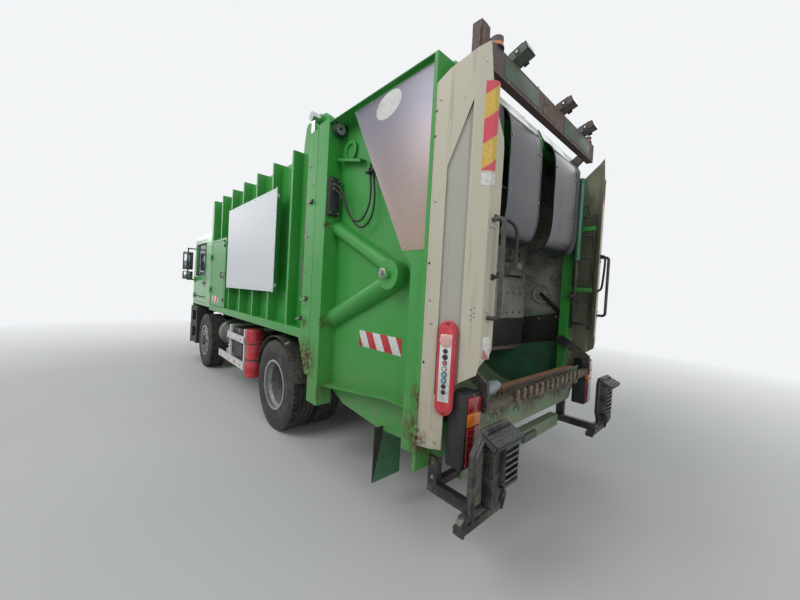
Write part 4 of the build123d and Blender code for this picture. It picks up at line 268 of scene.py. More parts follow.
# Surfaces with a second colour over the first in grains, as the values of grimy
GRIMY = {
    # chassis enamel under road film: dull black with dust in every corner
    "chassis": ("chassis_enamel_black", "#232426", 0.55, "dust", 0.02, 0.55),
    # satin slate enamel on the sheet steel guards: long soft highlights
    "guard": ("satin_enamel_slate", "dark", 0.3, "#413e48", 0.03, 0.6, 0.0, 0.0002, (1, 1, 6), 0.3),
    # cast iron under an oil film: dark, slightly bright on its edges
    "iron": ("cast_iron_oily", "#34322f", 0.6, "#5a4a3a", 0.015, 0.7, 0.4),
    # black paint on forgings: rust comes through in patches
    "axle": ("forged_steel_painted", "#2b2a29", 0.55, "rust", 0.02, 0.7),
    # vulcanised rubber: matt charcoal, dusted brown where it meets the road
    "tyre": ("vulcanised_rubber", "#262627", 0.75, "#6b6459", 0.012, 0.6),
    # silver enamel on the wheels: soft metallic, with brake dust
    "rim": ("silver_enamel_steel", "rim", 0.42, "#4b4238", 0.02, 0.75, 0.3),
    # the rims' outer lip: bright metal whose pale colour is also a painted highlight where the lip catches
    # the light
    "alloy_rim": ("bare_rim_edge", "#c3c5c6", 0.3, "#77736c", 0.02, 0.4, 0.8),
    # moulded black plastic: no gloss, a fine grain that holds dust
    "trim": ("grained_plastic_black", "#1d1e20", 0.6, "#4a4946", 0.006, 0.45),
    # moulded grey plastic: matt and even
    "dash": ("grained_plastic_grey", "#4a4c50", 0.65, "#6a6b6d", 0.004, 0.4),
    # moulded polyethylene: soft gloss, scuffed paler
    "red": ("moulded_polyethylene_red", "signal", 0.4, "#d98488", 0.012, 0.4),
    # black paint on the steps, worn grey by boots
    "step": ("painted_tread_steel", "#2a2b2d", 0.5, "#6e6a63", 0.012, 0.75),
    # the steps' tread edges: rubbed to bare steel
    "tread": ("scuffed_tread_edges", "#6f6d69", 0.5, "#36332f", 0.008, 0.6, 0.3),
    # gritty coat on the steps' fields: very matt, mottled brown and grey
    "scuffed": ("mottled_anti_slip_coat", "#34312d", 0.8, "#8b8374", 0.009, 1.0),
    # mild steel worn bright by loading and rusted between uses
    "worn": ("worn_mild_steel", "#574a42", 0.6, "#9a8d80", 0.02, 0.8, 0.4, 0.001, (6, 1, 1)),
    # the packer's steel plates, scoured grey by refuse, with dark grime left on
    "packer": ("scoured_plate_steel", "#9c9b90", 0.6, "#4a463b", 0.03, 0.7, 0.15, 0.0008),
    # the lip, rusted orange-brown where bins are set down
    "lip": ("rusted_mild_steel", "#a0765a", 0.65, "#5c4232", 0.02, 0.8, 0.3, 0.001, (6, 1, 1)),
    # sheet rubber and hose cover: black, matt, greyed with dirt
    "rubber": ("sheet_rubber_black", "#1b1b1b", 0.7, "#4d463d", 0.02, 0.5),
    # torn rubber sheet at the comb: grey-brown, fibrous
    "fringe": ("frayed_rubber_sheet", "#3c362f", 0.8, "#958a7a", 0.01, 0.9),
    # hard chromium on a ground rod: mirror-like with an oil film
    "chrome": ("hard_chrome", "#c9cbcc", 0.12, "#8a8a88", 0.02, 0.25, 1.0, 0.0001),
    # zinc plating: a soft grey metal shine, browned with age
    "zinc": ("zinc_plated_steel", "#a4a49d", 0.38, "#6b5b45", 0.006, 0.5, 0.85),
    # white enamel on the side guards: satin, soiled by the road
    "white": ("white_enamel", "#d7d8d5", 0.4, "#8d8878", 0.02, 0.5),
    # old enamel on the light bar: brown-grey, rust showing through
    "bar": ("weathered_bar_enamel", "#584d50", 0.6, "#6a4632", 0.03, 0.8),
    # the light bar's older green coat: faded, brown at its scrapes
    "bar_green": ("faded_bar_green", "#4d6150", 0.55, "#5c4b40", 0.03, 0.7),
    # enamel on the lift cylinders: deep green with a wet gloss
    "gloss_green": ("cylinder_enamel_green", "#226340", 0.25, "#1a3f2a", 0.03, 0.4),
    # rolled rags on the lip: soft blue-grey cloth
    "cloth_grey": ("woven_rag_grey", "#98a2a6", 0.85, "#5d6264", 0.012, 0.7),
}

# Moulded plastic of the buttons and labels: even colour, a little gloss, darker where it is touched
BUTTONS = {"pink": "#d9a9a0", "ink": "#232428", "blue": "#7fa3b5", "rose": "#b76a72"}

# Moulded acrylic of the lamp glasses: clear gloss over fine flutes
LENSES = {"red": "#9c1218", "amber": "#e0780f", "clear": "#c8ccd0"}


def make_lens(name, code):
    """Fluted acrylic with a film of dust."""
    made, tree, shader, place = material(name, code, 0.12, Coat_Weight=0.6, Coat_Roughness=0.05, IOR=1.49)
    flutes = add(tree, "TexWave", {"Vector": place, "Scale": 1 / 0.02, "Distortion": 0.0},
                 bands_direction="Z")
    dusty = times(tree, noise(tree, place, 0.03, 0.4, 0.8, 5.0), 0.35)
    surface(tree, shader, blend_colour(tree, dusty, code, "#6f6457"), relief=flutes.outputs["Fac"],
            depth=0.0006, strength=0.5)
    return made


def make_brushed():
    """Weathered anodised aluminium sheet with a painted reflection: violet-grey above, warm low down,
    standing in for the yard mirrored in it.
    """
    made, tree, shader, place = material("weathered_anodised_sheet", "#a79c99", 0.42, 0.55)
    # painted reflection: by height, the colour goes from violet-grey above to warm below
    final = blend_colour(tree, height(tree, place, 2.1, 3.1), "#827e8b", "#b8a293")
    lines = noise(tree, place, 0.0045, 0.3, 0.7, 3.0, (1, 14, 1))
    final = blend_colour(tree, times(tree, lines, 0.22), final, "#6f6a6b")
    surface(tree, shader, final, relief=lines, depth=0.0002, strength=0.3)
    return made


def make_glass():
    """Tinted toughened glass, dusty outside."""
    made, tree, shader, place = material("tinted_toughened_glass", "#5b6a66", 0.04, IOR=1.52,
                                         Transmission_Weight=0.85)
    film = times(tree, noise(tree, place, 0.12, 0.35, 0.8, 5.0), 0.35)
    surface(tree, shader, masks=[(film, 0.35)], rough=0.04)
    return made


def make_mirror():
    """Silvered glass: a sharp reflection, dulled in spots."""
    made, tree, shader, place = material("silvered_mirror_glass", "#848b8e", 0.03, 1.0)
    surface(tree, shader, masks=[(noise(tree, place, 0.04, 0.5, 0.9), 0.25)], rough=0.03)
    return made


def make_seat_cloth():
    """Woven seat cloth: dark blue-grey with a light fleck every few threads."""
    made, tree, shader, place = material("woven_seat_cloth", "#33373f", 0.9, Sheen_Weight=0.4)
    threads = [add(tree, "TexWave", {"Vector": place, "Scale": 1 / 0.009}, bands_direction=way).outputs["Fac"]
               for way in "XY"]
    weave = times(tree, *threads)
    fleck = blend_colour(tree, times(tree, weave, 0.4), "#33373f", "#7a808c")
    surface(tree, shader, fleck, relief=weave, depth=0.0006, strength=0.6)
    return made


def make_inner_wall():
    """Steel of the mouth's inner walls: scoured grey above, soiled green below."""
    made, tree, shader, place = material("scoured_wall_steel", "#a5a49a", 0.6, 0.1)
    final = blend_colour(tree, height(tree, place, 1.50, 1.66), "#a5a49a", "#42805c")
    soil = times(tree, noise(tree, place, 0.16, 0.36, 0.62, 5.0), noise(tree, place, 0.025, 0.3, 0.65, 6.0))
    final = blend_colour(tree, times(tree, soil, 0.7), final, "#4a463a")
    surface(tree, shader, final, [(soil, 0.85)], 0.6, noise(tree, place, 0.02, 0.3, 0.7, 5.0), 0.0008, 0.5)
    return made


def make_finishes():
    """All the materials, by the short keys that the pieces use."""
    made = {key: enamel(*values) for key, values in ENAMELS.items()}
    made.update({key: grimy(*values) for key, values in GRIMY.items()})
    made.update({key: grimy("moulded_button_" + key, code, 0.35, [c * 0.6 for c in linear(code)], 0.006, 0.4)
                 for key, code in BUTTONS.items()})
    made.update({key + "_lens": make_lens("moulded_acrylic_" + key, code) for key, code in LENSES.items()})
    made.update(brushed=make_brushed(), glass=make_glass(), mirror=make_mirror(), cloth=make_seat_cloth(),
                inner_wall=make_inner_wall())
    # reflective film: a fine cell pattern under clear plastic
    pitch = bpy.context.scene.truck_sizes.stripe
    made["red_white"] = striped("reflective_film_red_white", "#b81f2b", "#d8d9d6", pitch, 0.55, "Y")
    made["red_yellow"] = striped("reflective_film_red_yellow", "#cf4458", "#cfae48", 1.5 * pitch, 1.0, "X",
                                 0.09)
    return made


# Shape tools: each adds a shape to a piece's bmesh, in one of the piece's material slots

def merge(bm, part, slot=0):
    """Adds a shape to a piece's bmesh in one material slot and frees the shape."""
    for face in part.faces:
        face.material_index = slot
    mesh = bpy.data.meshes.new("part")
    part.to_mesh(mesh)
    part.free()
    bm.from_mesh(mesh)
    bpy.data.meshes.remove(mesh)


def round_edges(part, offset, segments=2):
    """Bevels all the edges of a shape."""
    bmesh.ops.bevel(part, geom=part.edges[:], offset=offset, segments=segments, affect="EDGES", profile=0.5,
                    material=-1)


def turned(point, degrees, axis="X"):
    """A place turned by degrees about an axis."""
    return Matrix.Translation(point) @ Matrix.Rotation(radians(degrees), 4, axis)


def block(bm, low, high, slot=0, bevel=0.0, at=HERE):
    """A block between two corners, with bevelled edges."""
    low, high = Vector(low), Vector(high)
    part = bmesh.new()
    place = at @ Matrix.Translation((low + high) / 2) @ Matrix.Diagonal((*(high - low), 1))
    bmesh.ops.create_cube(part, size=1.0, matrix=place)
    if bevel:
        round_edges(part, bevel)
    merge(bm, part, slot)


def blocks(bm, slot, bevel, *corners, at=HERE):
    """Blocks between pairs of corners, alike in slot and bevel."""
    for low, high in corners:
        block(bm, low, high, slot, bevel, at)


def rod(bm, start, end, radius, slot=0, sides=20, tip=None, at=HERE):
    """A round bar, or a cone to the tip radius, between two points."""
    start, end = at @ Vector(start), at @ Vector(end)
    run = end - start
    part = bmesh.new()
    place = Matrix.Translation((start + end) / 2) @ run.to_track_quat("Z", "Y").to_matrix().to_4x4()
    bmesh.ops.create_cone(part, cap_ends=True, segments=sides, radius1=radius,
                          radius2=radius if tip is None else tip, depth=run.length, matrix=place)
    merge(bm, part, slot)


def pin(bm, start, run, radius, slot=0, sides=20, tip=None, at=HERE):
    """A round bar or a cone from a point along a run."""
    rod(bm, start, Vector(start) + Vector(run), radius, slot, sides, tip, at)


def lathe(bm, profile, origin, axis, slot=0, steps=48, closed=False, at=HERE):
    """A solid of revolution from a profile of (distance along the axis, radius) points."""
    part = bmesh.new()
    place = at @ Matrix.Translation(origin) @ Vector(axis).to_track_quat("Z", "Y").to_matrix().to_4x4()
    verts = [part.verts.new(place @ Vector((radius, 0, along))) for along, radius in profile]
    pairs = list(zip(verts, verts[1:])) + ([(verts[-1], verts[0])] if closed else [])
    edges = [part.edges.new(pair) for pair in pairs]
    bmesh.ops.spin(part, geom=verts + edges, cent=place.translation, axis=place.to_3x3() @ Vector((0, 0, 1)),
                   angle=2 * pi, steps=steps, use_merge=True)
    bmesh.ops.remove_doubles(part, verts=part.verts[:], dist=1e-5)
    merge(bm, part, slot)


def hoop(bm, centre, axis, inner, outer, width, slot=0, steps=48):
    """A flat band round an axis."""
    lathe(bm, [(0, inner), (0, outer), (width, outer), (width, inner)], centre, axis, slot, steps, True)


AXES = {"X": (0, 1, 2), "Y": (1, 0, 2), "Z": (2, 0, 1)}     # across a plane, then its own two axes


def plate(bm, outline, plane, level, thick, slot=0, bevel=0.0, at=HERE):
    """A flat plate from an outline in the plane X, Y or Z, from level to level + thick."""
    out, first, second = AXES[plane]
    part = bmesh.new()
    verts = []
    for u, v in outline:
        point = Vector((0, 0, 0))
        point[out], point[first], point[second] = level, u, v
        verts.append(part.verts.new(at @ point))
    face = part.faces.new(verts)
    made = bmesh.ops.extrude_face_region(part, geom=[face], use_keep_orig=True)["geom"]
    shift = Vector((0, 0, 0))
    shift[out] = thick
    raised = [v for v in made if isinstance(v, bmesh.types.BMVert)]
    bmesh.ops.translate(part, vec=at.to_3x3() @ shift, verts=raised)
    if bevel:
        round_edges(part, bevel)
    merge(bm, part, slot)


def strip(bm, path, thick, plane, level, width, slot=0):
    """A bent strip: a path of points in a plane, thickened to its left, from level to level + width."""
    path = [Vector(point) for point in path]
    outer = []
    for n, point in enumerate(path):
        run = (path[min(n + 1, len(path) - 1)] - path[max(n - 1, 0)]).normalized()
        outer.append(point + Vector((-run.y, run.x)) * thick)
    plate(bm, [*path, *reversed(outer)], plane, level, width, slot)


def arc(centre, radius, start, end, steps=8):
    """Points on an arc about a centre, from start to end in degrees."""
    turns = [radians(start + (end - start) * n / steps) for n in range(steps + 1)]
    return [(centre[0] + radius * cos(turn), centre[1] + radius * sin(turn)) for turn in turns]


def curved(points, steps=6):
    """Points on a smooth line through the points given."""
    ends = [points[0], *points, points[-1]]
    line = []
    for four in zip(ends, ends[1:], ends[2:], ends[3:]):
        for k in range(steps):
            t = k / steps
            line.append(tuple(b + (c - a) * t / 2 + (2 * a - 5 * b + 4 * c - d) * t * t / 2
                              + (3 * b - a - 3 * c + d) * t ** 3 / 2 for a, b, c, d in zip(*four)))
    return line + [points[-1]]


def bolt(bm, point, out, slot=0, across=None):
    """A hexagon bolt's head on its washer, pointing out."""
    across = across or bpy.context.scene.truck_sizes.bolt
    point, out = Vector(point), Vector(out).normalized()
    rod(bm, point - out * 0.002, point + out * across * 0.12, across * 0.75, slot, 16)
    rod(bm, point, point + out * across * 0.55, across * 0.5, slot, 6)


def tube(bm, points, radius, slot=0, sides=12):
    """A bent bar along points: rods with a ball at each bend."""
    for start, end in zip(points, points[1:]):
        rod(bm, start, end, radius, slot, sides)
    for point in points[1:-1]:
        part = bmesh.new()
        bmesh.ops.create_uvsphere(part, u_segments=sides, v_segments=8, radius=radius,
                                  matrix=Matrix.Translation(point))
        merge(bm, part, slot)


def both_sides(bm):
    """Adds the mirror image about the truck's middle plane."""
    bmesh.ops.mirror(bm, geom=bm.verts[:] + bm.edges[:] + bm.faces[:], merge_dist=-1.0, axis="X")


def piece(name, bm, finishes, body, smooth=32.0):
    """Makes an object of a finished bmesh, smooth below an edge angle, and rides it on a body."""
    bmesh.ops.recalc_face_normals(bm, faces=bm.faces[:])
    mesh = bpy.data.meshes.new(name)
    bm.to_mesh(mesh)
    bm.free()
    for finish in finishes.split():
        mesh.materials.append(bpy.data.materials[FINISHES[finish]])
    mesh.shade_smooth()
    mesh.set_sharp_from_angle(angle=radians(smooth))
    made = bpy.data.objects.new(name, mesh)
    bpy.context.scene.collection.objects.link(made)
    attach(made, body)
    return made


def hit(node, start, toward):
    """Where a line from start meets a carried-over node."""
    found, point, *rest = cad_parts[node].ray_cast(Vector(start), Vector(toward))
    if not found:
        raise RuntimeError("the line misses " + node)
    return point


def paint(node, finish, inside):
    """Gives the faces of a carried-over node whose middle passes a test another finish."""
    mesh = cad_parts[node].data
    mesh.materials.append(bpy.data.materials[FINISHES[finish]])
    for face in mesh.polygons:
        if inside(face.center):
            face.material_index = len(mesh.materials) - 1


FINISHES = {}       # finish key to material name, filled by the finishes operator

NODE_FINISHES = {
    "body": "body_floor body_sides service_door body_roof body_front_wall body_rear_frame gate_sides "
            "gate_frame",
    "hopper": "hopper_tub",
    "cab": "cab_floor cab_shell cab_roof cab_front door_left door_right",
    "cover": "side_covers",
    "sign": "sign_panels",
    "chassis": "chassis_frame side_tanks leaf_springs rear_mudguards underrun_beam",
    "guard": "guard_bands",
    "bar": "light_bar",
    "iron": "engine_block",
    "axle": "front_axle rear_axle knuckle_left knuckle_right track_rod",
    "rim": "rim_front_left rim_front_right rims_rear_left rims_rear_right",
    "tyre": "tyre_front_left tyre_front_right tyres_rear_left tyres_rear_right",
    "white": "side_guards",
    "red": "extinguisher_box control_box",
    "trim": "front_bumper mirrors steering_wheel",
    "dash": "dashboard",
    "cloth": "seats",
    "glass": "cab_glass door_glass_left door_glass_right",
    "red_lens": "tail_lamps",
    "step": "step_left step_right grab_handles",
    "packer": "packer_carriage packer_blade",
    "worn": "bin_lift lift_barrels",
    "chrome": "lift_rods",
}


class TRUCK_OT_finishes(bpy.types.Operator):
    """Makes the finishes and gives each carried-over node its own"""

    bl_idname = "truck.finishes"
    bl_label = "Finishes"

    def execute(self, context):
        for key, made in make_finishes().items():
            FINISHES[key] = made.name
        for key, names in NODE_FINISHES.items():
            for name in names.split():
                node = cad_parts[name]
                node.data.materials.clear()
                node.data.materials.append(bpy.data.materials[FINISHES[key]])
        return {"FINISHED"}


BACKDROP = "#f2f4f6"    # the background, and the floor far off
FADE = (4.8, 12.5)      # from the middle of the floor, where it starts and ends to fade
LAMPS = (("key", (9, 1, 9), (0, 0.5, 1.5), 7.0, 540), ("rear_fill", (3, 10, 5), (0, 3, 1.5), 5.0, 160),
         ("right_fill", (-9, 2, 7), (0, 0, 1.5), 7.0, 200),
         ("front_fill", (2, -10, 6), (0, -3, 1.5), 6.0, 220))
# The camera that was fitted to the photograph: its place, yaw, pitch and roll, and focal length over width
CAMERA, YAW, PITCH, ROLL, FOCAL = (2.825, 4.935, 1.75), 0.747, 0.024, 0.056, 325.755 / 800


def seen_rays(tree):
    """1 for a ray from the camera, or one that a gloss or glass sends on."""
    path = add(tree, "LightPath").outputs
    rays = combine(tree, "MAXIMUM", path["Is Camera Ray"], path["Is Glossy Ray"])
    return combine(tree, "MAXIMUM", rays, path["Is Transmission Ray"])


class TRUCK_OT_stage(bpy.types.Operator):
    """Sets the pale floor, the soft lamps, the world and the camera at the photograph's viewing angle"""

    bl_idname = "truck.stage"
    bl_label = "Stage"

    def execute(self, context):
        scene = context.scene
        bm = bmesh.new()
        bmesh.ops.create_grid(bm, x_segments=2, y_segments=2, size=150.0)
        mesh = bpy.data.meshes.new("studio_floor")
        bm.to_mesh(mesh)
        bm.free()
        concrete, tree, shader, place = material("painted_concrete_floor", "#c4c4c2", 0.85)
        cloudy = noise(tree, place, 2.5, 0.3, 0.7)
        surface(tree, shader, blend_colour(tree, times(tree, cloudy, 0.3), "#c4c4c2", "#b4b3b0"))
        # far off, the floor fades into the background, so that no horizon shows
        far = add(tree, "VectorMath", {0: place, 1: (0, 0, 0)}, operation="DISTANCE").outputs["Value"]
        fade = times(tree, ramp(tree, far, *FADE), seen_rays(tree))
        glow = add(tree, "Emission", {"Color": (*linear(BACKDROP), 1), "Strength": 1.0})
        mix = add(tree, "MixShader", {0: fade, 1: shader.outputs[0], 2: glow.outputs[0]})
        tree.links.new(mix.outputs[0], tree.nodes["Material Output"].inputs["Surface"])
        mesh.materials.append(concrete)
        floor = bpy.data.objects.new("studio_floor", mesh)
        scene.collection.objects.link(floor)

        world = bpy.data.worlds.new("studio_world")
        world.use_nodes = True
        scene.world = world
        tree = world.node_tree
        soft = tree.nodes["Background"]
        soft.inputs["Color"].default_value = (*linear("#e3e8ee"), 1)
        soft.inputs["Strength"].default_value = 0.5
        seen = add(tree, "Background", {"Color": (*linear(BACKDROP), 1), "Strength": 1.0})
        mix = add(tree, "MixShader", {0: seen_rays(tree), 1: soft.outputs[0], 2: seen.outputs[0]})
        tree.links.new(mix.outputs[0], tree.nodes["World Output"].inputs["Surface"])

        for name, where, target, size, power in LAMPS:
            data = bpy.data.lights.new("lamp_" + name, "AREA")
            data.shape = "DISK"
            data.size = size
            data.energy = power
            lamp = bpy.data.objects.new("lamp_" + name, data)
            lamp.location = where
            lamp.rotation_euler = (Vector(target) - Vector(where)).to_track_quat("-Z", "Y").to_euler()
            scene.collection.objects.link(lamp)

        lens = bpy.data.cameras.new("camera")
        lens.sensor_width = 36.0
        lens.lens = lens.sensor_width * FOCAL
        lens.clip_end = 400
        camera = bpy.data.objects.new("camera", lens)
        ahead = Vector((-sin(YAW) * cos(PITCH), -cos(YAW) * cos(PITCH), -sin(PITCH)))
        view = ahead.to_track_quat("-Z", "Y").to_matrix().to_4x4() @ Matrix.Rotation(ROLL, 4, "Z")
        camera.matrix_world = Matrix.Translation(CAMERA) @ view
        scene.collection.objects.link(camera)
        scene.camera = camera
        scene.view_settings.view_transform = "Standard"
        return {"FINISHED"}


# The cords' route points, as the source gives them, in metres
HOSES = {
    "hose_outer": (1.181, [(1.2, 2.165, 2.74), (1.198, 2.255, 2.715), (1.19, 2.345, 2.59),
                           (1.18, 2.415, 2.43), (1.17, 2.52, 2.31), (1.16, 2.64, 2.285), (1.15, 2.725, 2.38),
                           (1.145, 2.74, 2.52), (1.14, 2.715, 2.65), (1.135, 2.69, 2.745)]),
    "hose_inner": (0.974, [(1.2, 2.165, 2.7), (1.192, 2.24, 2.67), (1.178, 2.32, 2.555), (1.165, 2.385, 2.43),
                           (1.152, 2.48, 2.35), (1.142, 2.58, 2.37), (1.135, 2.65, 2.47),
                           (1.132, 2.665, 2.59), (1.13, 2.65, 2.68), (1.13, 2.64, 2.745)]),
}


class TRUCK_OT_hoses(bpy.types.Operator):
    """Hangs the two hydraulic hoses in the tailgate's left recess"""

    bl_idname = "truck.hoses"
    bl_label = "Hoses"

    def execute(self, context):
        for name, (long, route) in HOSES.items():
            curve = bpy.data.curves.new(name + "_line", "CURVE")
            curve.dimensions = "3D"
            line = curve.splines.new("NURBS")
            line.points.add(len(route) - 1)
            for point, place in zip(line.points, route):
                point.co = (*place, 1)
            line.order_u = 3
            line.use_endpoint_u = True
            line.resolution_u = 12
            curve.bevel_depth = 0.0085
            curve.bevel_resolution = 3
            curve.use_fill_caps = True
            curve.materials.append(bpy.data.materials[FINISHES["rubber"]])
            hose = bpy.data.objects.new(name + "_line", curve)
            context.scene.collection.objects.link(hose)
            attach(hose, "tailgate")
            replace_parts(hose, name)
        return {"FINISHED"}


# Half of a tyre's section from its bead to its shoulder, as (distance from the tyre's middle, radius)
TYRE_SIDE = [(0.120, 0.288), (0.146, 0.305), (0.1545, 0.345), (0.1545, 0.395), (0.1565, 0.399),
             (0.1565, 0.406), (0.1548, 0.410), (0.1552, 0.452), (0.1562, 0.456), (0.1550, 0.461),
             (0.148, 0.495), (0.139, 0.516), (0.134, 0.5265)]
TYRE_RADIUS = 0.54
WHEEL_Z = 0.54
HANDS = (("left", 1), ("right", -1))
# By axle: names of tyres and rims, middles of the tyres, Y, and X of the nuts, the hub cap and the rim's edge
AXLE_ENDS = {"front": ("tyre", "rim", (1.045,), -2.69, 1.203, 1.205, 1.188),
             "rear": ("tyres", "rims", (1.083, 0.731), 1.03, 0.919, 1.04, 1.2)}


def circle(count, radius, start=0.0):
    """Points evenly round a circle, from a start angle."""
    return [(radius * cos(start + 2 * pi * k / count), radius * sin(start + 2 * pi * k / count))
            for k in range(count)]


class TRUCK_OT_wheels(bpy.types.Operator):
    """Treads the tyres and adds the wheel nuts, hub caps and valves"""

    bl_idname = "truck.wheels"
    bl_label = "Wheels"

    def execute(self, context):
        sizes = context.scene.truck_sizes
        floor = TYRE_RADIUS - sizes.tread
        half = TYRE_SIDE + [(0.134, floor), (0.073, floor), (0.073, TYRE_RADIUS), (0.033, TYRE_RADIUS),
                            (0.033, floor), (0.023, floor), (0.023, TYRE_RADIUS)]
        profile = half + [(-x, r) for x, r in reversed(half)]
        step = 2 * pi / sizes.blocks
        long = TYRE_RADIUS * step * 0.76
        dome = [(0, 0.0), (-0.001, 0.088), (0.010, 0.088), (0.022, 0.080), (0.028, 0.060), (0.031, 0.0)]
        for end, (tyre, rim, middles, y, face, cap, edge) in AXLE_ENDS.items():
            for hand, side in HANDS:
                body, out = f"wheel_{end}_{hand}", Vector((side, 0, 0))
                bm = bmesh.new()
                for x in middles:
                    middle = Matrix.Translation((side * x, y, WHEEL_Z))
                    lathe(bm, profile, middle.translation, (1, 0, 0), steps=90, closed=True)
                    for k in range(sizes.blocks):
                        for row in (-1, 1):
                            part = bmesh.new()
                            place = middle @ Matrix.Rotation((k + row * 0.2) * step, 4, "X")
                            place = place @ Matrix.Translation((row * 0.110, 0, TYRE_RADIUS - 0.008))
                            bmesh.ops.create_cube(part, size=1.0,
                                                  matrix=place @ Matrix.Diagonal((0.051, long, 0.016, 1)))
                            round_edges(part, 0.002, 1)
                            merge(bm, part)
                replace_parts(piece(body + "_tread", bm, "tyre", body, 40), f"{tyre}_{end}_{hand}")

                bm = bmesh.new()
                for dy, dz in circle(10, sizes.nut_circle, 0.1):
                    start = Vector((side * (face - 0.001), y + dy, WHEEL_Z + dz))
                    pin(bm, start, out * 0.006, 0.021)
                    pin(bm, start, out * 0.026, 0.0185, 0, 6)
                    pin(bm, start + out * 0.025, out * 0.017, 0.011, 0, 12)
                lathe(bm, dome, (side * cap, y, WHEEL_Z), out, 1, 40)
                for dy, dz in circle(8, 0.078, pi / 8):
                    bolt(bm, (side * (cap + 0.009), y + dy, WHEEL_Z + dz), out, 0, 0.013)
                pin(bm, (side * (face - 0.004), y + 0.225, WHEEL_Z + 0.02), (side * 0.034, 0.007, 0), 0.005,
                    2, 10)
                piece(body + "_nuts", bm, "zinc axle rubber", body)

                middle = Vector((y, WHEEL_Z))
                # the rims' outer lip gets the bright metal: its pale colour is a painted highlight on the lip
                paint(f"{rim}_{end}_{hand}", "alloy_rim",
                      lambda at: abs(at.x) > edge and (at.yz - middle).length > 0.272)
                paint(f"{rim}_{end}_{hand}", "axle", lambda at: (at.yz - middle).length < 0.128)
        return {"FINISHED"}


CAB_FRONT = -4.0295     # Y of the cab's front sheet below the windscreen


class TRUCK_OT_cab(bpy.types.Operator):
    """Fits the cab's grille, headlamps, wipers, rubbers, door handles, mirror glass and step plates"""

    bl_idname = "truck.cab"
    bl_label = "Cab"

    def execute(self, context):
        bm = bmesh.new()
        block(bm, (-0.82, -4.036, 1.29), (0.82, CAB_FRONT, 1.83), 0, 0.003)
        for x0, z0, x1, z1 in ((-0.84, 1.28, 0.84, 1.315), (-0.84, 1.805, 0.84, 1.84),
                               (-0.84, 1.28, -0.80, 1.84), (0.80, 1.28, 0.84, 1.84)):
            block(bm, (x0, -4.056, z0), (x1, CAB_FRONT, z1), 1, 0.006)
        for k in range(8):
            block(bm, (-0.80, -0.012, -0.017), (0.80, 0.007, 0.017), 1, 0.004,
                  turned((0, -4.042, 1.345 + 0.0575 * k), -24))
        for x in (-0.4, 0.0, 0.4):
            block(bm, (x - 0.008, -4.05, 1.31), (x + 0.008, -4.034, 1.81), 1, 0.003)
        piece("cab_grille", bm, "ink trim", "cab")

        bm = bmesh.new()
        for x in (0.785, 0.935):
            bezel = [(0, 0.074), (0.022, 0.072), (0.026, 0.066), (0.022, 0.060), (0.004, 0.054), (0, 0.054)]
            lathe(bm, bezel, (x, -4.031, 0.64), (0, -1, 0), 0, 40, True)
            bowl = [(0.002, 0.0), (0.003, 0.033), (0.010, 0.062), (0.018, 0.062), (0.026, 0.0396),
                    (0.028, 0.0)]
            lathe(bm, bowl, (x, -4.031, 0.64), (0, -1, 0), 1, 40)
        block(bm, (1.012, -4.052, 0.57), (1.072, CAB_FRONT, 0.71), 2, 0.008)
        both_sides(bm)
        piece("headlamps", bm, "alloy_rim clear_lens amber_lens", "chassis")

        bm = bmesh.new()
        for x in (-0.45, 0.45):
            lathe(bm, [(0, 0), (0, 0.022), (0.018, 0.02), (0.024, 0.012), (0.026, 0)], (x, -4.028, 1.865),
                  (0, -1, 0), 0, 20)
            tube(bm, [(x, -4.045, 1.865), (x - 0.04, -4.047, 1.96), (x - 0.16, -4.026, 2.13)], 0.006)
            foot, head = Vector((x - 0.42, -4.0335, 1.955)), Vector((x + 0.10, -3.9885, 2.305))
            rod(bm, foot, head, 0.006, 0, 8)
            for share in (0.2, 0.5, 0.8):
                middle = Matrix.Translation(foot.lerp(head, share))
                block(bm, (-0.018, -0.008, -0.008), (0.018, 0.006, 0.008), 0, 0.002, middle)
        piece("wipers", bm, "trim", "cab")

        bm = bmesh.new()
        window = ((-3.78, 1.88), (-3.78, 2.56), (-2.95, 2.56), (-2.95, 1.88), (-3.78, 1.88))
        tube(bm, [(1.179, y, z) for y, z in window], 0.009, 0, 8)
        both_sides(bm)
        low, high = (-4.028, 1.91), (-3.9325, 2.62)
        tube(bm, [(-1.06, *low), (-1.06, *high), (1.06, *high), (1.06, *low), (-1.06, *low)], 0.011, 0, 10)
        piece("cab_window_rubbers", bm, "rubber", "cab")

        for hand, side in HANDS:
            bm = bmesh.new()
            x = side * 1.1795
            block(bm, (x, -3.09, 1.665), (x + side * 0.004, -2.93, 1.755), 1, 0.001)
            grip = x + side * 0.03
            tube(bm, [(x, -3.075, 1.712), (grip, -3.065, 1.712), (grip, -2.955, 1.712), (x, -2.945, 1.712)],
                 0.009)
            pin(bm, (x, -2.94, 1.64), (side * 0.008, 0, 0), 0.012, 2)
            block(bm, (x, -3.86, 1.40), (x + side * 0.006, -2.92, 1.425), 0, 0.002)
            piece(f"door_{hand}_handle", bm, "trim ink zinc", "door_" + hand)

        bm = bmesh.new()
        blocks(bm, 0, 0.002, ((1.248, -3.902, 2.012), (1.412, -3.897, 2.388)),
               ((1.248, -3.897, 1.792), (1.412, -3.892, 1.948)))
        both_sides(bm)
        piece("mirror_glass", bm, "mirror", "cab")

        bm = bmesh.new()
        for z in (0.50, 0.86):
            block(bm, (1.05, -3.615, z - 0.001), (1.22, -3.40, z + 0.004), 0, 0.001)
            for k in range(24):
                stud = (1.07 + 0.027 * (k // 4), -3.59 + 0.055 * (k % 4), z + 0.003)
                pin(bm, stud, (0, 0, 0.005), 0.006, 0, 8, 0.004)
        both_sides(bm)
        piece("cab_step_plates", bm, "zinc", "chassis")

        bm = bmesh.new()
        block(bm, (1.178, -2.55, 1.30), (1.1815, -2.43, 1.41), 0, 0.0008)
        block(bm, (1.178, -2.62, 2.1), (1.188, -2.53, 2.14), 1, 0.003)
        both_sides(bm)
        piece("cab_marks", bm, "red_white amber_lens", "cab")

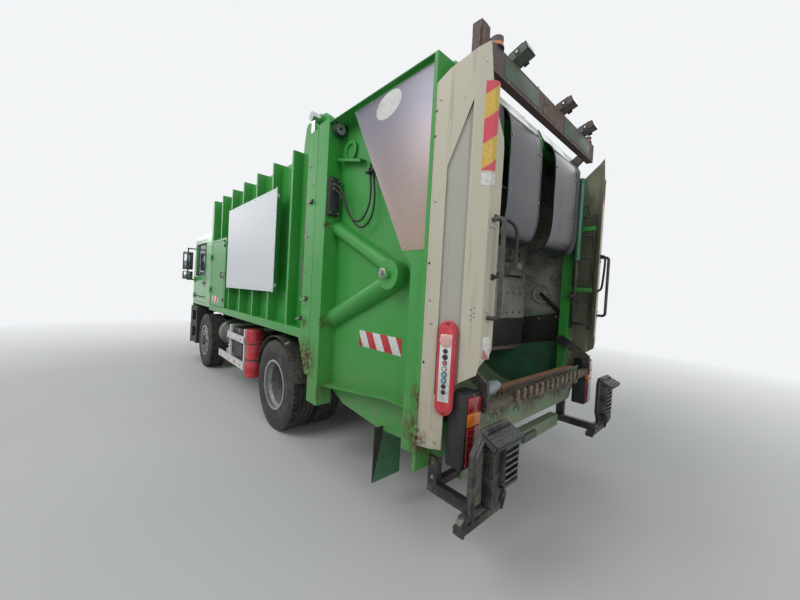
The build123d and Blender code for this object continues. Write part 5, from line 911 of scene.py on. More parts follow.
        bm = bmesh.new()
        column = Vector((0, -cos(radians(58)), sin(radians(58))))
        boss = [(0.03, 0.0), (0.03, 0.03), (0.022, 0.062), (0.004, 0.07), (0.0, 0.0)]
        lathe(bm, boss, (0.69, -3.5064, 1.8398), column, 0, 24)
        piece("wheel_boss", bm, "trim", "steering_wheel")
        return {"FINISHED"}


VOXEL = 0.010       # the seats' mesh for the cloth simulation


def swell(made, pressure, cap):
    """Fills a cushion by cloth pressure, moving no point further than the cap, then smooths it once."""
    remesh = made.modifiers.new("remesh", "REMESH")
    remesh.mode = "VOXEL"
    remesh.voxel_size = VOXEL
    bake(made)
    rest = [v.co.copy() for v in made.data.vertices]
    cloth = made.modifiers.new("cloth", "CLOTH")
    cloth.settings.use_pressure = True
    cloth.settings.uniform_pressure_force = pressure
    cloth.settings.effector_weights.gravity = 0
    for number in range(1, 21):
        bpy.context.scene.frame_set(number)
    bake(made)
    bpy.context.scene.frame_set(1)
    for vert, start in zip(made.data.vertices, rest):
        move = vert.co - start
        if move.length > cap:
            vert.co = start + move.normalized() * cap
    smooth = made.modifiers.new("subdivision", "SUBSURF")
    smooth.levels = smooth.render_levels = 1
    bake(made)
    made.data.shade_smooth()


def bake(made):
    """Applies a piece's modifiers to its mesh."""
    shaped = made.evaluated_get(bpy.context.evaluated_depsgraph_get())
    mesh = bpy.data.meshes.new_from_object(shaped)
    made.modifiers.clear()
    made.data = mesh


def channel(made, plane, levels, inward):
    """Presses sewn channels across a cushion where it meets the levels of a plane's axis."""
    out, inward, depth, width = "XYZ".index(plane), Vector(inward), 0.007, 0.012
    for vert in made.data.vertices:
        for level in levels:
            share = 1 - abs(vert.co[out] - level) / width
            if share > 0 and vert.normal.dot(inward) < -0.3:
                vert.co += inward * depth * share * share


# The seats' soft forms as (Y, Z) outlines, each with half its width
SEAT_FORMS = (("cushion", [(-3.25, 1.575), (-2.75, 1.575), (-2.75, 1.66), (-3.20, 1.675), (-3.25, 1.65)],
               0.225),
              ("backrest", [(-2.85, 1.68), (-2.755, 1.67), (-2.66, 2.22), (-2.735, 2.24)], 0.212),
              ("headrest", [(-2.725, 2.29), (-2.645, 2.28), (-2.60, 2.445), (-2.66, 2.455)], 0.13))


class TRUCK_OT_seats(bpy.types.Operator):
    """Upholsters the two cab seats"""

    bl_idname = "truck.seats"
    bl_label = "Seats"

    def execute(self, context):
        for hand, side in HANDS:
            x = side * 0.72
            bm = bmesh.new()
            block(bm, (x - 0.17, -3.15, 1.246), (x + 0.17, -2.78, 1.50), 0, 0.012)
            block(bm, (x - 0.225, -3.22, 1.50), (x + 0.225, -2.76, 1.562), 0, 0.014)
            for z in (1.29, 1.34, 1.39, 1.44):
                block(bm, (x - 0.18, -3.16, z), (x + 0.18, -2.77, z + 0.022), 1, 0.01)
            pin(bm, (x + 0.23, -3.12, 1.545), (0.032, 0, 0), 0.022)
            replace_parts(piece("seat_plinth_" + hand, bm, "trim rubber", "cab"), "seats")
            for form, outline, half in SEAT_FORMS:
                bm = bmesh.new()
                plate(bm, outline, "X", x - half, 2 * half, 0, 0.018)
                pad = piece(f"seat_{form}_{hand}", bm, "cloth", "cab", 60)
                swell(pad, 4.0, 0.022)
                if form == "cushion":
                    channel(pad, "Y", (-3.12, -2.99, -2.86), (0, 0, -1))
                elif form == "backrest":
                    channel(pad, "Z", (1.82, 1.96, 2.10), (0, 1, 0))
                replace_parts(pad, "seats")
            bm = bmesh.new()
            for bar in (x - 0.06, x + 0.06):
                rod(bm, (bar, -2.695, 2.20), (bar, -2.675, 2.32), 0.007, 0, 10)
            plate(bm, [(-2.752, 1.64), (-2.738, 1.64), (-2.625, 2.24), (-2.645, 2.25)], "X", x - 0.19, 0.38,
                  1, 0.004)
            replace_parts(piece("seat_frame_" + hand, bm, "chrome trim", "cab"), "seats")
        return {"FINISHED"}


class TRUCK_OT_body(bpy.types.Operator):
    """Adds the load body's screws, latches, marker lamps and rails"""

    bl_idname = "truck.body"
    bl_label = "Load body"

    def execute(self, context):
        bm = bmesh.new()
        spots = [(-0.895 + k * 0.238, z) for k in range(9) for z in (1.70, 2.88)]
        spots += [(y, 1.70 + k * 0.236) for k in range(1, 5) for y in (-0.895, 1.005)]
        for y, z in spots:
            lathe(bm, [(0, 0.009), (0.003, 0.008), (0.005, 0.005), (0.0055, 0)], (1.2958, y, z), (1, 0, 0), 0,
                  10)
        for y, width in ((-0.93, 0.02), (1.02, -0.02)):
            for z in (1.655, 2.905):
                block(bm, (1.2955, y, z), (1.2975, y + width, z + 0.02), 0, 0.0005)
        both_sides(bm)
        piece("sign_screws", bm, "zinc", "chassis")

        bm = bmesh.new()
        plate(bm, [(-1.345, 1.80), (-1.265, 1.80), (-1.265, 1.95), (-1.345, 1.95)], "X", 1.2495, 0.012, 0,
              0.003)
        tube(bm, [(1.258, -1.305, 1.93), (1.285, -1.305, 1.915), (1.285, -1.305, 1.835),
                  (1.262, -1.305, 1.825)],
             0.009, 1)
        blocks(bm, 1, 0.003, ((1.2495, -1.29, 1.42), (1.262, -1.24, 1.47)),
               ((1.2495, -1.29, 2.36), (1.262, -1.24, 2.41)))
        blocks(bm, 0, 0.001, ((1.249, -2.0, 1.345), (1.2525, -1.27, 1.353)),
               ((1.249, -2.0, 2.44), (1.2525, -1.40, 2.448)), ((1.249, -2.02, 1.36), (1.2525, -2.012, 2.36)),
               ((1.249, -1.262, 1.36), (1.2525, -1.254, 2.36)))
        block(bm, (1.2493, -1.985, 1.372), (1.2512, -1.56, 1.492), 2, 0.0006)
        piece("service_door_latch", bm, "zinc trim red_white", "service_door")

        bm = bmesh.new()
        x = 1.2495
        for y, z in ((1.47, 1.12), (1.69, 1.42), (1.80, 1.63), (1.83, 2.62)):
            block(bm, (x, y - 0.03, z - 0.022), (x + 0.014, y + 0.03, z + 0.022), 0, 0.004)
            pin(bm, (x, y + 0.012, z), (0.03, 0, 0), 0.011, 1, 12)
            tube(bm, [(x + 0.022, y + 0.012, z), (x + 0.03, y - 0.05, z - 0.02)], 0.006, 1, 8)
        pin(bm, (1.2485, 1.85, 2.78), (0.003, 0, 0), 0.012, 2, 16)
        for k in range(5):
            bolt(bm, (1.25, 1.76, 1.55 + 0.36 * k), (1, 0, 0), 1, 0.02)
        both_sides(bm)
        piece("rear_frame_latches", bm, "trim zinc ink", "chassis")

        bm = bmesh.new()
        for y in (-1.1, 0.2, 1.5):
            x = hit("body_floor", (2, y, 1.19), (-1, 0, 0)).x
            block(bm, (x - 0.001, y - 0.045, 1.165), (x + 0.014, y + 0.045, 1.200), 1, 0.004)
            block(bm, (x + 0.012, y - 0.036, 1.170), (x + 0.022, y + 0.036, 1.195), 0, 0.004)
        both_sides(bm)
        piece("side_markers", bm, "amber_lens trim", "chassis")
        return {"FINISHED"}


def banded(low, high, radius):
    """A lathe profile of a moulded drum with ring bands at both ends and a plain, narrower waist."""
    span = high - low
    out = [(low, 0.0), (low, radius * 0.86), (low + 0.012, radius * 0.97)]
    for start in (0.03, 0.76):
        first, wide = low + span * start, span * 0.21
        count = int(wide / 0.022)
        for k in range(count):
            ring, pitch = first + wide * k / count, wide / count
            out += [(ring, radius), (ring + pitch * 0.62, radius), (ring + pitch * 0.68, radius - 0.005),
                    (ring + pitch * 0.94, radius - 0.005)]
        if start < 0.5:
            out += [(low + span * 0.24, radius), (low + span * 0.30, radius * 0.9),
                    (low + span * 0.70, radius * 0.9)]
    return out + [(high - span * 0.03, radius), (high - 0.012, radius * 0.97), (high, radius * 0.86),
                  (high, 0.0)]


class TRUCK_OT_chassis(bpy.types.Operator):
    """Adds the tank straps and caps, the extinguisher box, bolts and reflectors under the body"""

    bl_idname = "truck.chassis"
    bl_label = "Chassis fittings"

    def execute(self, context):
        bm = bmesh.new()
        x, y, up = 1.095, -0.07, (0, 0, 1)
        lathe(bm, banded(0.37, 1.075, 0.125), (x, y, 0), up)
        lid = [(0, 0.118), (0.004, 0.122), (0.012, 0.118), (0.014, 0.06), (0.010, 0.0), (0, 0)]
        lathe(bm, lid, (x, y, 1.066), up)
        pin(bm, (x, y, 0.366), (0, 0, 0.008), 0.06, 1)
        for z in (0.62, 0.86):
            hoop(bm, (x, y, z), up, 0.1135, 0.1165, 0.022, 1)
        block(bm, (1.045, -0.19, 0.70), (1.145, -0.172, 0.80), 1, 0.004)
        pin(bm, (x, -0.198, 0.75), (0, 0.028, 0), 0.016, 2)
        block(bm, (0.4303, -0.10, 0.87), (1.02, -0.04, 0.92), 1, 0.004)
        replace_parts(piece("extinguisher_drum", bm, "red chassis zinc", "chassis", 28),
                    "extinguisher_box")

        bm = bmesh.new()
        path = [(-0.60, 1.001), (-1.03, 1.001)] + arc((-1.03, 0.91), 0.091, 90, 180, 6)[1:]
        path += arc((-1.03, 0.61), 0.091, 180, 270, 6) + [(-0.60, 0.519)]
        for y in (-1.72, -1.02):
            strip(bm, path, -0.004, "Y", y, 0.06)
            bolt(bm, (-1.124, y + 0.03, 0.76), (-1, 0, 0), 0, 0.018)
        lathe(bm, [(0, 0.055), (0.03, 0.055), (0.034, 0.05), (0.036, 0.0)], (-0.95, -1.35, 0.999), up, 1, 32)
        for y in (-1.84, -1.38):
            hoop(bm, (0.89, y, 0.80), (0, 1, 0), 0.2348, 0.2395, 0.05)
        for y in (-0.60, -0.12):
            hoop(bm, (-0.80, y, 0.76), (0, 1, 0), 0.1348, 0.139, 0.04, 0, 40)
        block(bm, (0.645, -1.122, 1.005), (1.122, -0.568, 1.02), 1, 0.006)
        for y in (-1.0, -0.69):
            block(bm, (1.119, y - 0.02, 0.93), (1.128, y + 0.02, 1.01), 0, 0.002)
        piece("tank_fittings", bm, "zinc trim", "chassis")

        bm = bmesh.new()
        for y, z in ((-1.45, 0.485), (-0.95, 0.485), (-0.42, 0.485), (-0.98, 0.88), (-0.42, 0.88)):
            bolt(bm, (1.19, y, z), (1, 0, 0), 0, 0.018)
        block(bm, (1.19, -0.72, 0.46), (1.196, -0.64, 0.51), 1, 0.002)
        both_sides(bm)
        piece("guard_rail_fittings", bm, "zinc amber_lens", "chassis")
        return {"FINISHED"}


class TRUCK_OT_recess(bpy.types.Operator):
    """Fits the tailgate's side recesses: work lamps, side sheets, stripe plates, ledges and hose ends"""

    bl_idname = "truck.recess"
    bl_label = "Tailgate recess"

    def execute(self, context):
        bm = bmesh.new()
        lamp, back = (1.165, 2.1095, 3.275), (0, 1, 0)
        shell = [(0, 0.0), (0, 0.03), (0.012, 0.05), (0.035, 0.064), (0.07, 0.068), (0.078, 0.066),
                 (0.078, 0.058), (0.070, 0.057), (0.070, 0.0)]
        lathe(bm, shell, lamp, back, 0, 40)
        for k in range(-2, 3):
            x = 1.165 + k * 0.021
            block(bm, (x - 0.003, 2.178, 3.222), (x + 0.003, 2.184, 3.328), 0, 0.001)
        lathe(bm, [(0.068, 0.0), (0.072, 0.03), (0.0715, 0.055), (0.068, 0.056)], lamp, back, 1, 32)
        block(bm, (1.15, 2.1095, 3.325), (1.18, 2.15, 3.338), 0, 0.003)
        both_sides(bm)
        piece("recess_lamps", bm, "trim clear_lens", "tailgate")

        bm = bmesh.new()
        plate(bm, [(2.48, 3.30), (3.42, 3.30), (3.425, 2.05), (3.19, 2.05)], "X", 1.2147, 0.0023, 0, 0.0007)
        rivets = [(2.50, 3.288), (2.72, 3.288), (2.96, 3.288), (3.20, 3.288), (3.40, 3.288), (3.407, 3.05),
                  (3.407, 2.78), (3.407, 2.5), (3.409, 2.25), (3.41, 2.07), (3.21, 2.07), (3.085, 2.29),
                  (2.95, 2.527), (2.82, 2.76), (2.68, 2.99)]
        for y, z in rivets:
            lathe(bm, [(0, 0.007), (0.002, 0.006), (0.0032, 0.003), (0.0035, 0)], (1.2165, y, z), (1, 0, 0),
                  1, 10)
        both_sides(bm)
        tilt = Matrix.Rotation(radians(10), 2)
        oval = [Vector((2.945, 3.19)) + tilt @ Vector((0.15 * u, 0.098 * v)) for u, v in circle(40, 1)]
        plate(bm, oval, "X", 1.2167, 0.0009, 2)
        piece("side_sheets", bm, "brushed zinc white", "tailgate")

        bm = bmesh.new()
        block(bm, (1.0895, 2.55, 1.25), (1.0915, 3.11, 1.39), 0, 0.0006)
        both_sides(bm)
        piece("stripe_plates", bm, "red_white", "tailgate")

        bm = bmesh.new()
        ledge = turned((1.125, 2.335, 2.960), -15.4)
        blocks(bm, 0, 0.002, ((-0.038, -0.19, -0.004), (0.036, 0.19, 0.004)),
               ((0.030, -0.19, -0.028), (0.036, 0.19, 0.004)), at=ledge)
        block(bm, (-0.030, 0.02, 0.003), (0.026, 0.17, 0.006), 1, 0.002, ledge)
        boss = hit("gate_sides", (2, 3.013, 1.888), (-1, 0, 0))
        washer = [(-0.002, 0.0), (-0.002, 0.038), (0.004, 0.038), (0.006, 0.034), (0.006, 0.0)]
        lathe(bm, washer, boss, (1, 0, 0), 2, 32)
        bolt(bm, boss + Vector((0.005, 0, 0)), (1, 0, 0), 2, 0.038)
        both_sides(bm)
        piece("recess_ledges", bm, "body lip zinc", "tailgate")

        bm = bmesh.new()
        for y in (2.66, 2.67):
            block(bm, (1.104, y - 0.02, 2.7545), (1.156, y + 0.02, 2.7965), 0, 0.003)
        for x, y in ((1.135, 2.69), (1.13, 2.64)):
            rod(bm, (x, y, 2.7719), (x, y, 2.80), 0.016, 1, 6)
            rod(bm, (x, y, 2.80), (x, y, 2.835), 0.011, 0, 12)
        for z in (2.74, 2.70):
            pin(bm, (1.20, 2.1598, z), (0, 0.0122, 0), 0.017, 1, 6)
        block(bm, (1.133, 2.158, 2.455), (1.237, 2.1635, 2.805), 0, 0.002)
        for x, z in ((1.145, 2.475), (1.225, 2.475), (1.145, 2.785), (1.225, 2.785)):
            bolt(bm, (x, 2.1633, z), back, 1, 0.012)
        piece("hose_fittings", bm, "trim zinc", "tailgate")

        # the hoses' brackets and the flaps under the sides are rubber and black
        for low, high in (((1.125, 2.1095, 2.44), (1.245, 2.165, 2.815)),
                          ((0.86, 2.90, 0.2), (1.19, 2.95, 0.66)), ((-1.19, 2.90, 0.2), (-0.86, 2.95, 0.66)),
                          ((1.085, 2.59, 2.75), (1.165, 2.74, 2.78))):
            paint("gate_sides", "rubber", lambda at: all(a <= c <= b for a, c, b in zip(low, at, high)))
        return {"FINISHED"}


# The control box's own axes: x forwards along the cover's bevel, y out of it, z up
BEVEL = Matrix(((0.4116, 0.9114, 0, 1.2), (-0.9114, 0.4116, 0, 3.6475), (0, 0, 1, 1.29), (0, 0, 0, 1)))


class TRUCK_OT_covers(bpy.types.Operator):
    """Adds the control box, warning tapes, screws and handle loops to the rear side covers"""

    bl_idname = "truck.covers"
    bl_label = "Rear side covers"

    def execute(self, context):
        size = context.scene.truck_sizes.button
        bm = bmesh.new()
        half, out = 0.0575, (0, 1, 0)
        outline = [(-half, -0.235)] + arc((0, -0.235), half, 180, 360, 12)[1:] + arc((0, 0.235), half, 0, 180,
                                                                                     12)
        outline = [(u, v * (1 if abs(v) < 0.2 else 1.02)) for u, v in outline]
        seat = [(-0.0565, -0.14), (0.0565, -0.14)] + arc((0, 0.2385), 0.0565, 0, 180, 12)
        plate(bm, seat, "Y", -0.0136, 0.0156, 0, 0, BEVEL)
        plate(bm, outline, "Y", 0.0004, 0.034, 0, 0.005, BEVEL)
        plate(bm, [(u * 0.86, v * 0.92) for u, v in outline], "Y", 0.032, 0.017, 0, 0.005, BEVEL)
        block(bm, (-0.036, 0.047, -0.205), (0.036, 0.0515, 0.215), 1, 0.001, BEVEL)
        for z in (-0.276, 0.276):
            lathe(bm, [(0, 0.011), (0.004, 0.011), (0.006, 0.008), (0.006, 0.0)], (0, 0.033, z), out, 2, 16,
                  at=BEVEL)
        knob = [(0, 0.0), (0, 0.040), (0.006, 0.040), (0.010, 0.034), (0.012, 0.026), (0.012, 0.0)]
        lathe(bm, knob, (0, 0.0505, 0.178), out, 3, 32, at=BEVEL)
        for k, slot in enumerate((2, 2, 4, 1, 5, 5, 2, 2)):
            ring = size * (0.52 if k in (1, 4, 5) else 0.44)
            collar = [(0, 0.0), (0, ring), (0.004, ring), (0.005, ring * 0.9), (0.005, 0.0)]
            cap = ring * 0.72
            button = [(0, 0.0), (0, cap), (0.008, cap), (0.010, cap * 0.8), (0.010, 0.0)]
            for profile, finish in ((collar, 2), (button, slot)):
                lathe(bm, profile, (0, 0.0505, 0.112 - k * 0.0365), out, finish, 20, at=BEVEL)
        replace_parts(piece("control_panel", bm, "red white ink pink rose blue", "tailgate"),
                    "control_box")

        # the tapes run along the covers' bevel to its rear edge and turn onto the rear face
        bm = bmesh.new()
        start, edge, end = Vector((1.165, 3.725, 0)), Vector((1.095, 3.815, 0)), Vector((0.991, 3.832, 0))
        run, inwards = (edge - start).normalized(), (end - edge).normalized()
        off, back = Vector((run.y, -run.x, 0)), Vector((inwards.y, -inwards.x, 0))
        a, c = start + run * 0.056, edge + inwards * 0.036
        path = [a + off * 0.0013, edge + (off + back) * 0.0007, c + back * 0.0013, c - back * 0.0008,
                edge - (off + back) * 0.0004, a - off * 0.0008]
        for low, high, slot in ((2.52, 3.06, 0), (2.43, 2.505, 1)):
            plate(bm, [(p.x, p.y) for p in path], "Z", low, high - low, slot)
        label = Matrix.Translation((1.043, 3.8235, 1.43)) @ Matrix.Rotation(-back.angle(Vector((0, 1, 0))), 4,
                                                                            "Z")
        block(bm, (-0.032, -0.001, -0.07), (0.032, 0.0014, 0.07), 1, 0.0006, label)
        plate(bm, [(-0.03, -0.068), (0.03, -0.068), (0.03, 0.0)], "Y", 0.0012, 0.0008, 2, 0, label)
        both_sides(bm)
        piece("warning_tapes", bm, "red_yellow white rose", "tailgate")

        bm = bmesh.new()
        spots = [(3.511, z) for z in (1.71, 2.35, 3.0)] + [(3.531, 1.562), (3.60, 0.80), (3.62, 1.02),
                                                           (3.53, 0.79)]
        for y, z in spots:
            at = hit("side_covers", (2, y, z), (-1, 0, 0)) - Vector((0.0005, 0, 0))
            lathe(bm, [(0, 0.012), (0.003, 0.011), (0.005, 0.006), (0.005, 0)], at, (1, 0, 0), 0, 14)
        for y, z in ((3.482, 2.933), (3.480, 2.771), (3.49, 1.95), (3.49, 1.30)):
            at = hit("side_covers", (2, y, z), (-1, 0, 0)) - Vector((0.001, 0, 0))
            pin(bm, at, (0.0018, 0, 0), 0.009, 1, 16)
        for dz in (0.0, -0.035, -0.06):
            for dy in (0.0, 0.016):
                at = hit("side_covers", (1.125 + dy * 0.7, 5.0, 1.68 + dz - dy),
                         (0, -1, 0)) - Vector((0, 0.001, 0))
                pin(bm, at, (0.0012, 0.0022, 0), 0.004, 1, 10)
        for z in (1.66, 2.19):
            block(bm, (1.028, 3.818, z - 0.012), (1.072, 3.829, z + 0.012), 0, 0.003)
        loop = [(1.02, 3.822, 2.245), (0.975, 3.872, 2.236), (0.92, 3.902, 2.20), (0.898, 3.908, 2.12),
                (0.903, 3.90, 1.99), (0.95, 3.876, 1.90), (1.02, 3.822, 1.875)]
        tube(bm, curved(loop, 3), 0.0105, 2, 10)
        for z in (2.245, 1.875):
            block(bm, (1.0, 3.818, z - 0.02), (1.04, 3.830, z + 0.02), 2, 0.004)
        both_sides(bm)
        piece("cover_screws", bm, "zinc ink rubber", "tailgate")

        def field(at):
            """True on the floor and walls of the pressed field in a cover's bevel."""
            local = BEVEL.inverted() @ Vector((abs(at.x), at.y, at.z))
            return abs(local.x) < 0.0735 and -0.0145 < local.y < -0.0008 and -0.27 < local.z < 1.68

        paint("side_covers", "field", field)
        return {"FINISHED"}


BAR_FACE, BAR_TOP = 3.6695, 3.4545      # Y of the light bar's rear face and Z of its top


class TRUCK_OT_lamps(bpy.types.Operator):
    """Builds the tail lamps and dresses the light bar"""

    bl_idname = "truck.lamps"
    bl_label = "Lamps"

    def execute(self, context):
        bm = bmesh.new()
        block(bm, (0.995, 3.645, 0.66), (1.165, 3.776, 1.14), 0, 0.014)
        for low, high, slot in ((0.682, 0.93, 1), (0.933, 1.018, 2), (1.021, 1.118, 1)):
            block(bm, (1.000, 3.768, low), (1.138, 3.791, high), slot, 0.008)
        for z in (0.72, 0.76, 0.80, 0.84, 0.88):
            block(bm, (1.004, 3.789, z), (1.134, 3.7935, z + 0.004), 1, 0.001)
        blocks(bm, 0, 0.004, ((1.142, 3.770, 0.70), (1.160, 3.784, 1.10)),
               ((1.004, 3.5503, 0.90), (1.099, 3.65, 0.96)))
        for z in (0.674, 1.126):
            pin(bm, (1.069, 3.774, z), (0, 0.006, 0), 0.006, 3, 10)
        both_sides(bm)
        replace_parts(piece("tail_lamp_sets", bm, "trim red_lens amber_lens zinc", "tailgate"),
                    "tail_lamps")

        bm = bmesh.new()
        for x in (0.6, -0.25, -0.8):
            place = turned((x, 3.69, 3.52), 20)
            for k in range(9):
                rib = -0.058 + k * 0.0145
                block(bm, (rib - 0.003, -0.062, 0.028), (rib + 0.003, 0.050, 0.036), 0, 0.001, place)
            block(bm, (-0.061, 0.066, -0.031), (0.061, 0.074, 0.031), 0, 0.003, place)
            block(bm, (-0.052, 0.071, -0.023), (0.052, 0.077, 0.023), 1, 0.003, place)
            for side in (-1, 1):
                block(bm, (side * 0.0595, -0.02, -0.045), (side * 0.0645, 0.02, 0.012), 0, 0.001, place)
                pin(bm, (side * 0.063, 0, 0), (side * 0.007, 0, 0), 0.009, 2, 6, at=place)
        piece("work_lamps", bm, "trim clear_lens zinc", "tailgate")

        bm = bmesh.new()
        up = (0, 0, 1)
        dome = [(0.0, 0.0), (0.0, 0.046), (0.03, 0.046), (0.055, 0.040), (0.070, 0.026), (0.0765, 0.0)]
        lathe(bm, dome, (0.85, 3.64, 3.456), up, 0, 36)
        lathe(bm, [(z * 0.78, r * 0.76) for z, r in dome], (-0.985, 3.64, 3.456), up, 0, 30)
        for x, radius in ((0.85, 0.052), (-0.985, 0.040)):
            ring = [(0, -0.012), (0, 0), (0.010, 0), (0.013, -0.004), (0.013, -0.012)]
            lathe(bm, [(z, radius + r) for z, r in ring], (x, 3.64, BAR_TOP), up, 1, 32, True)
        block(bm, (1.018, 3.608, 3.468), (1.082, 3.672, 3.513), 2, 0.012)
        block(bm, (1.016, 3.606, BAR_TOP), (1.084, 3.674, 3.470), 1, 0.004)
        lathe(bm, [(0, 0.0), (0, 0.012), (0.018, 0.012), (0.026, 0.008), (0.028, 0.0)],
              (0.24, 3.655, BAR_TOP), up, 3, 20)
        piece("beacons", bm, "amber_lens trim clear_lens zinc", "tailgate")

        bm = bmesh.new()
        block(bm, (-0.15, BAR_FACE, 3.300), (0.15, 3.6725, 3.43), 0, 0.001)
        for k in range(90):
            cut = turned((-0.14 + k // 6 * 0.02, 3.6725, 3.314 + k % 6 * 0.0205), 38, "Y")
            block(bm, (-0.011, -0.001, -0.0022), (0.011, 0.0022, 0.0022), 0, 0, cut)
        blocks(bm, 1, 0.001, ((0.25, BAR_FACE, 3.30), (0.78, 3.6735, 3.43)),
               ((-0.95, BAR_FACE, 3.30), (-0.27, 3.6735, 3.43)))
        for x in (-1.06, -0.9, -0.55, -0.3, 0.3, 0.72, 0.95):
            for z in (3.445, 3.285):
                bolt(bm, (x, 3.67, z), (0, 1, 0), 2, 0.012)
        tube(bm, [(0.98, 3.64, 3.277), (0.92, 3.645, 3.262), (0.84, 3.645, 3.266), (0.78, 3.64, 3.277)],
             0.004, 3, 8)
        tube(bm, [(-0.62, 3.64, 3.277), (-0.70, 3.648, 3.258), (-0.80, 3.648, 3.262), (-0.86, 3.64, 3.277)],
             0.004, 3, 8)
        paint("light_bar", "bar_green", lambda at: abs(at.x - 0.6) < 0.07 and at.z > 3.465)
        piece("light_bar_trim", bm, "worn bar_green zinc rubber", "tailgate")
        return {"FINISHED"}


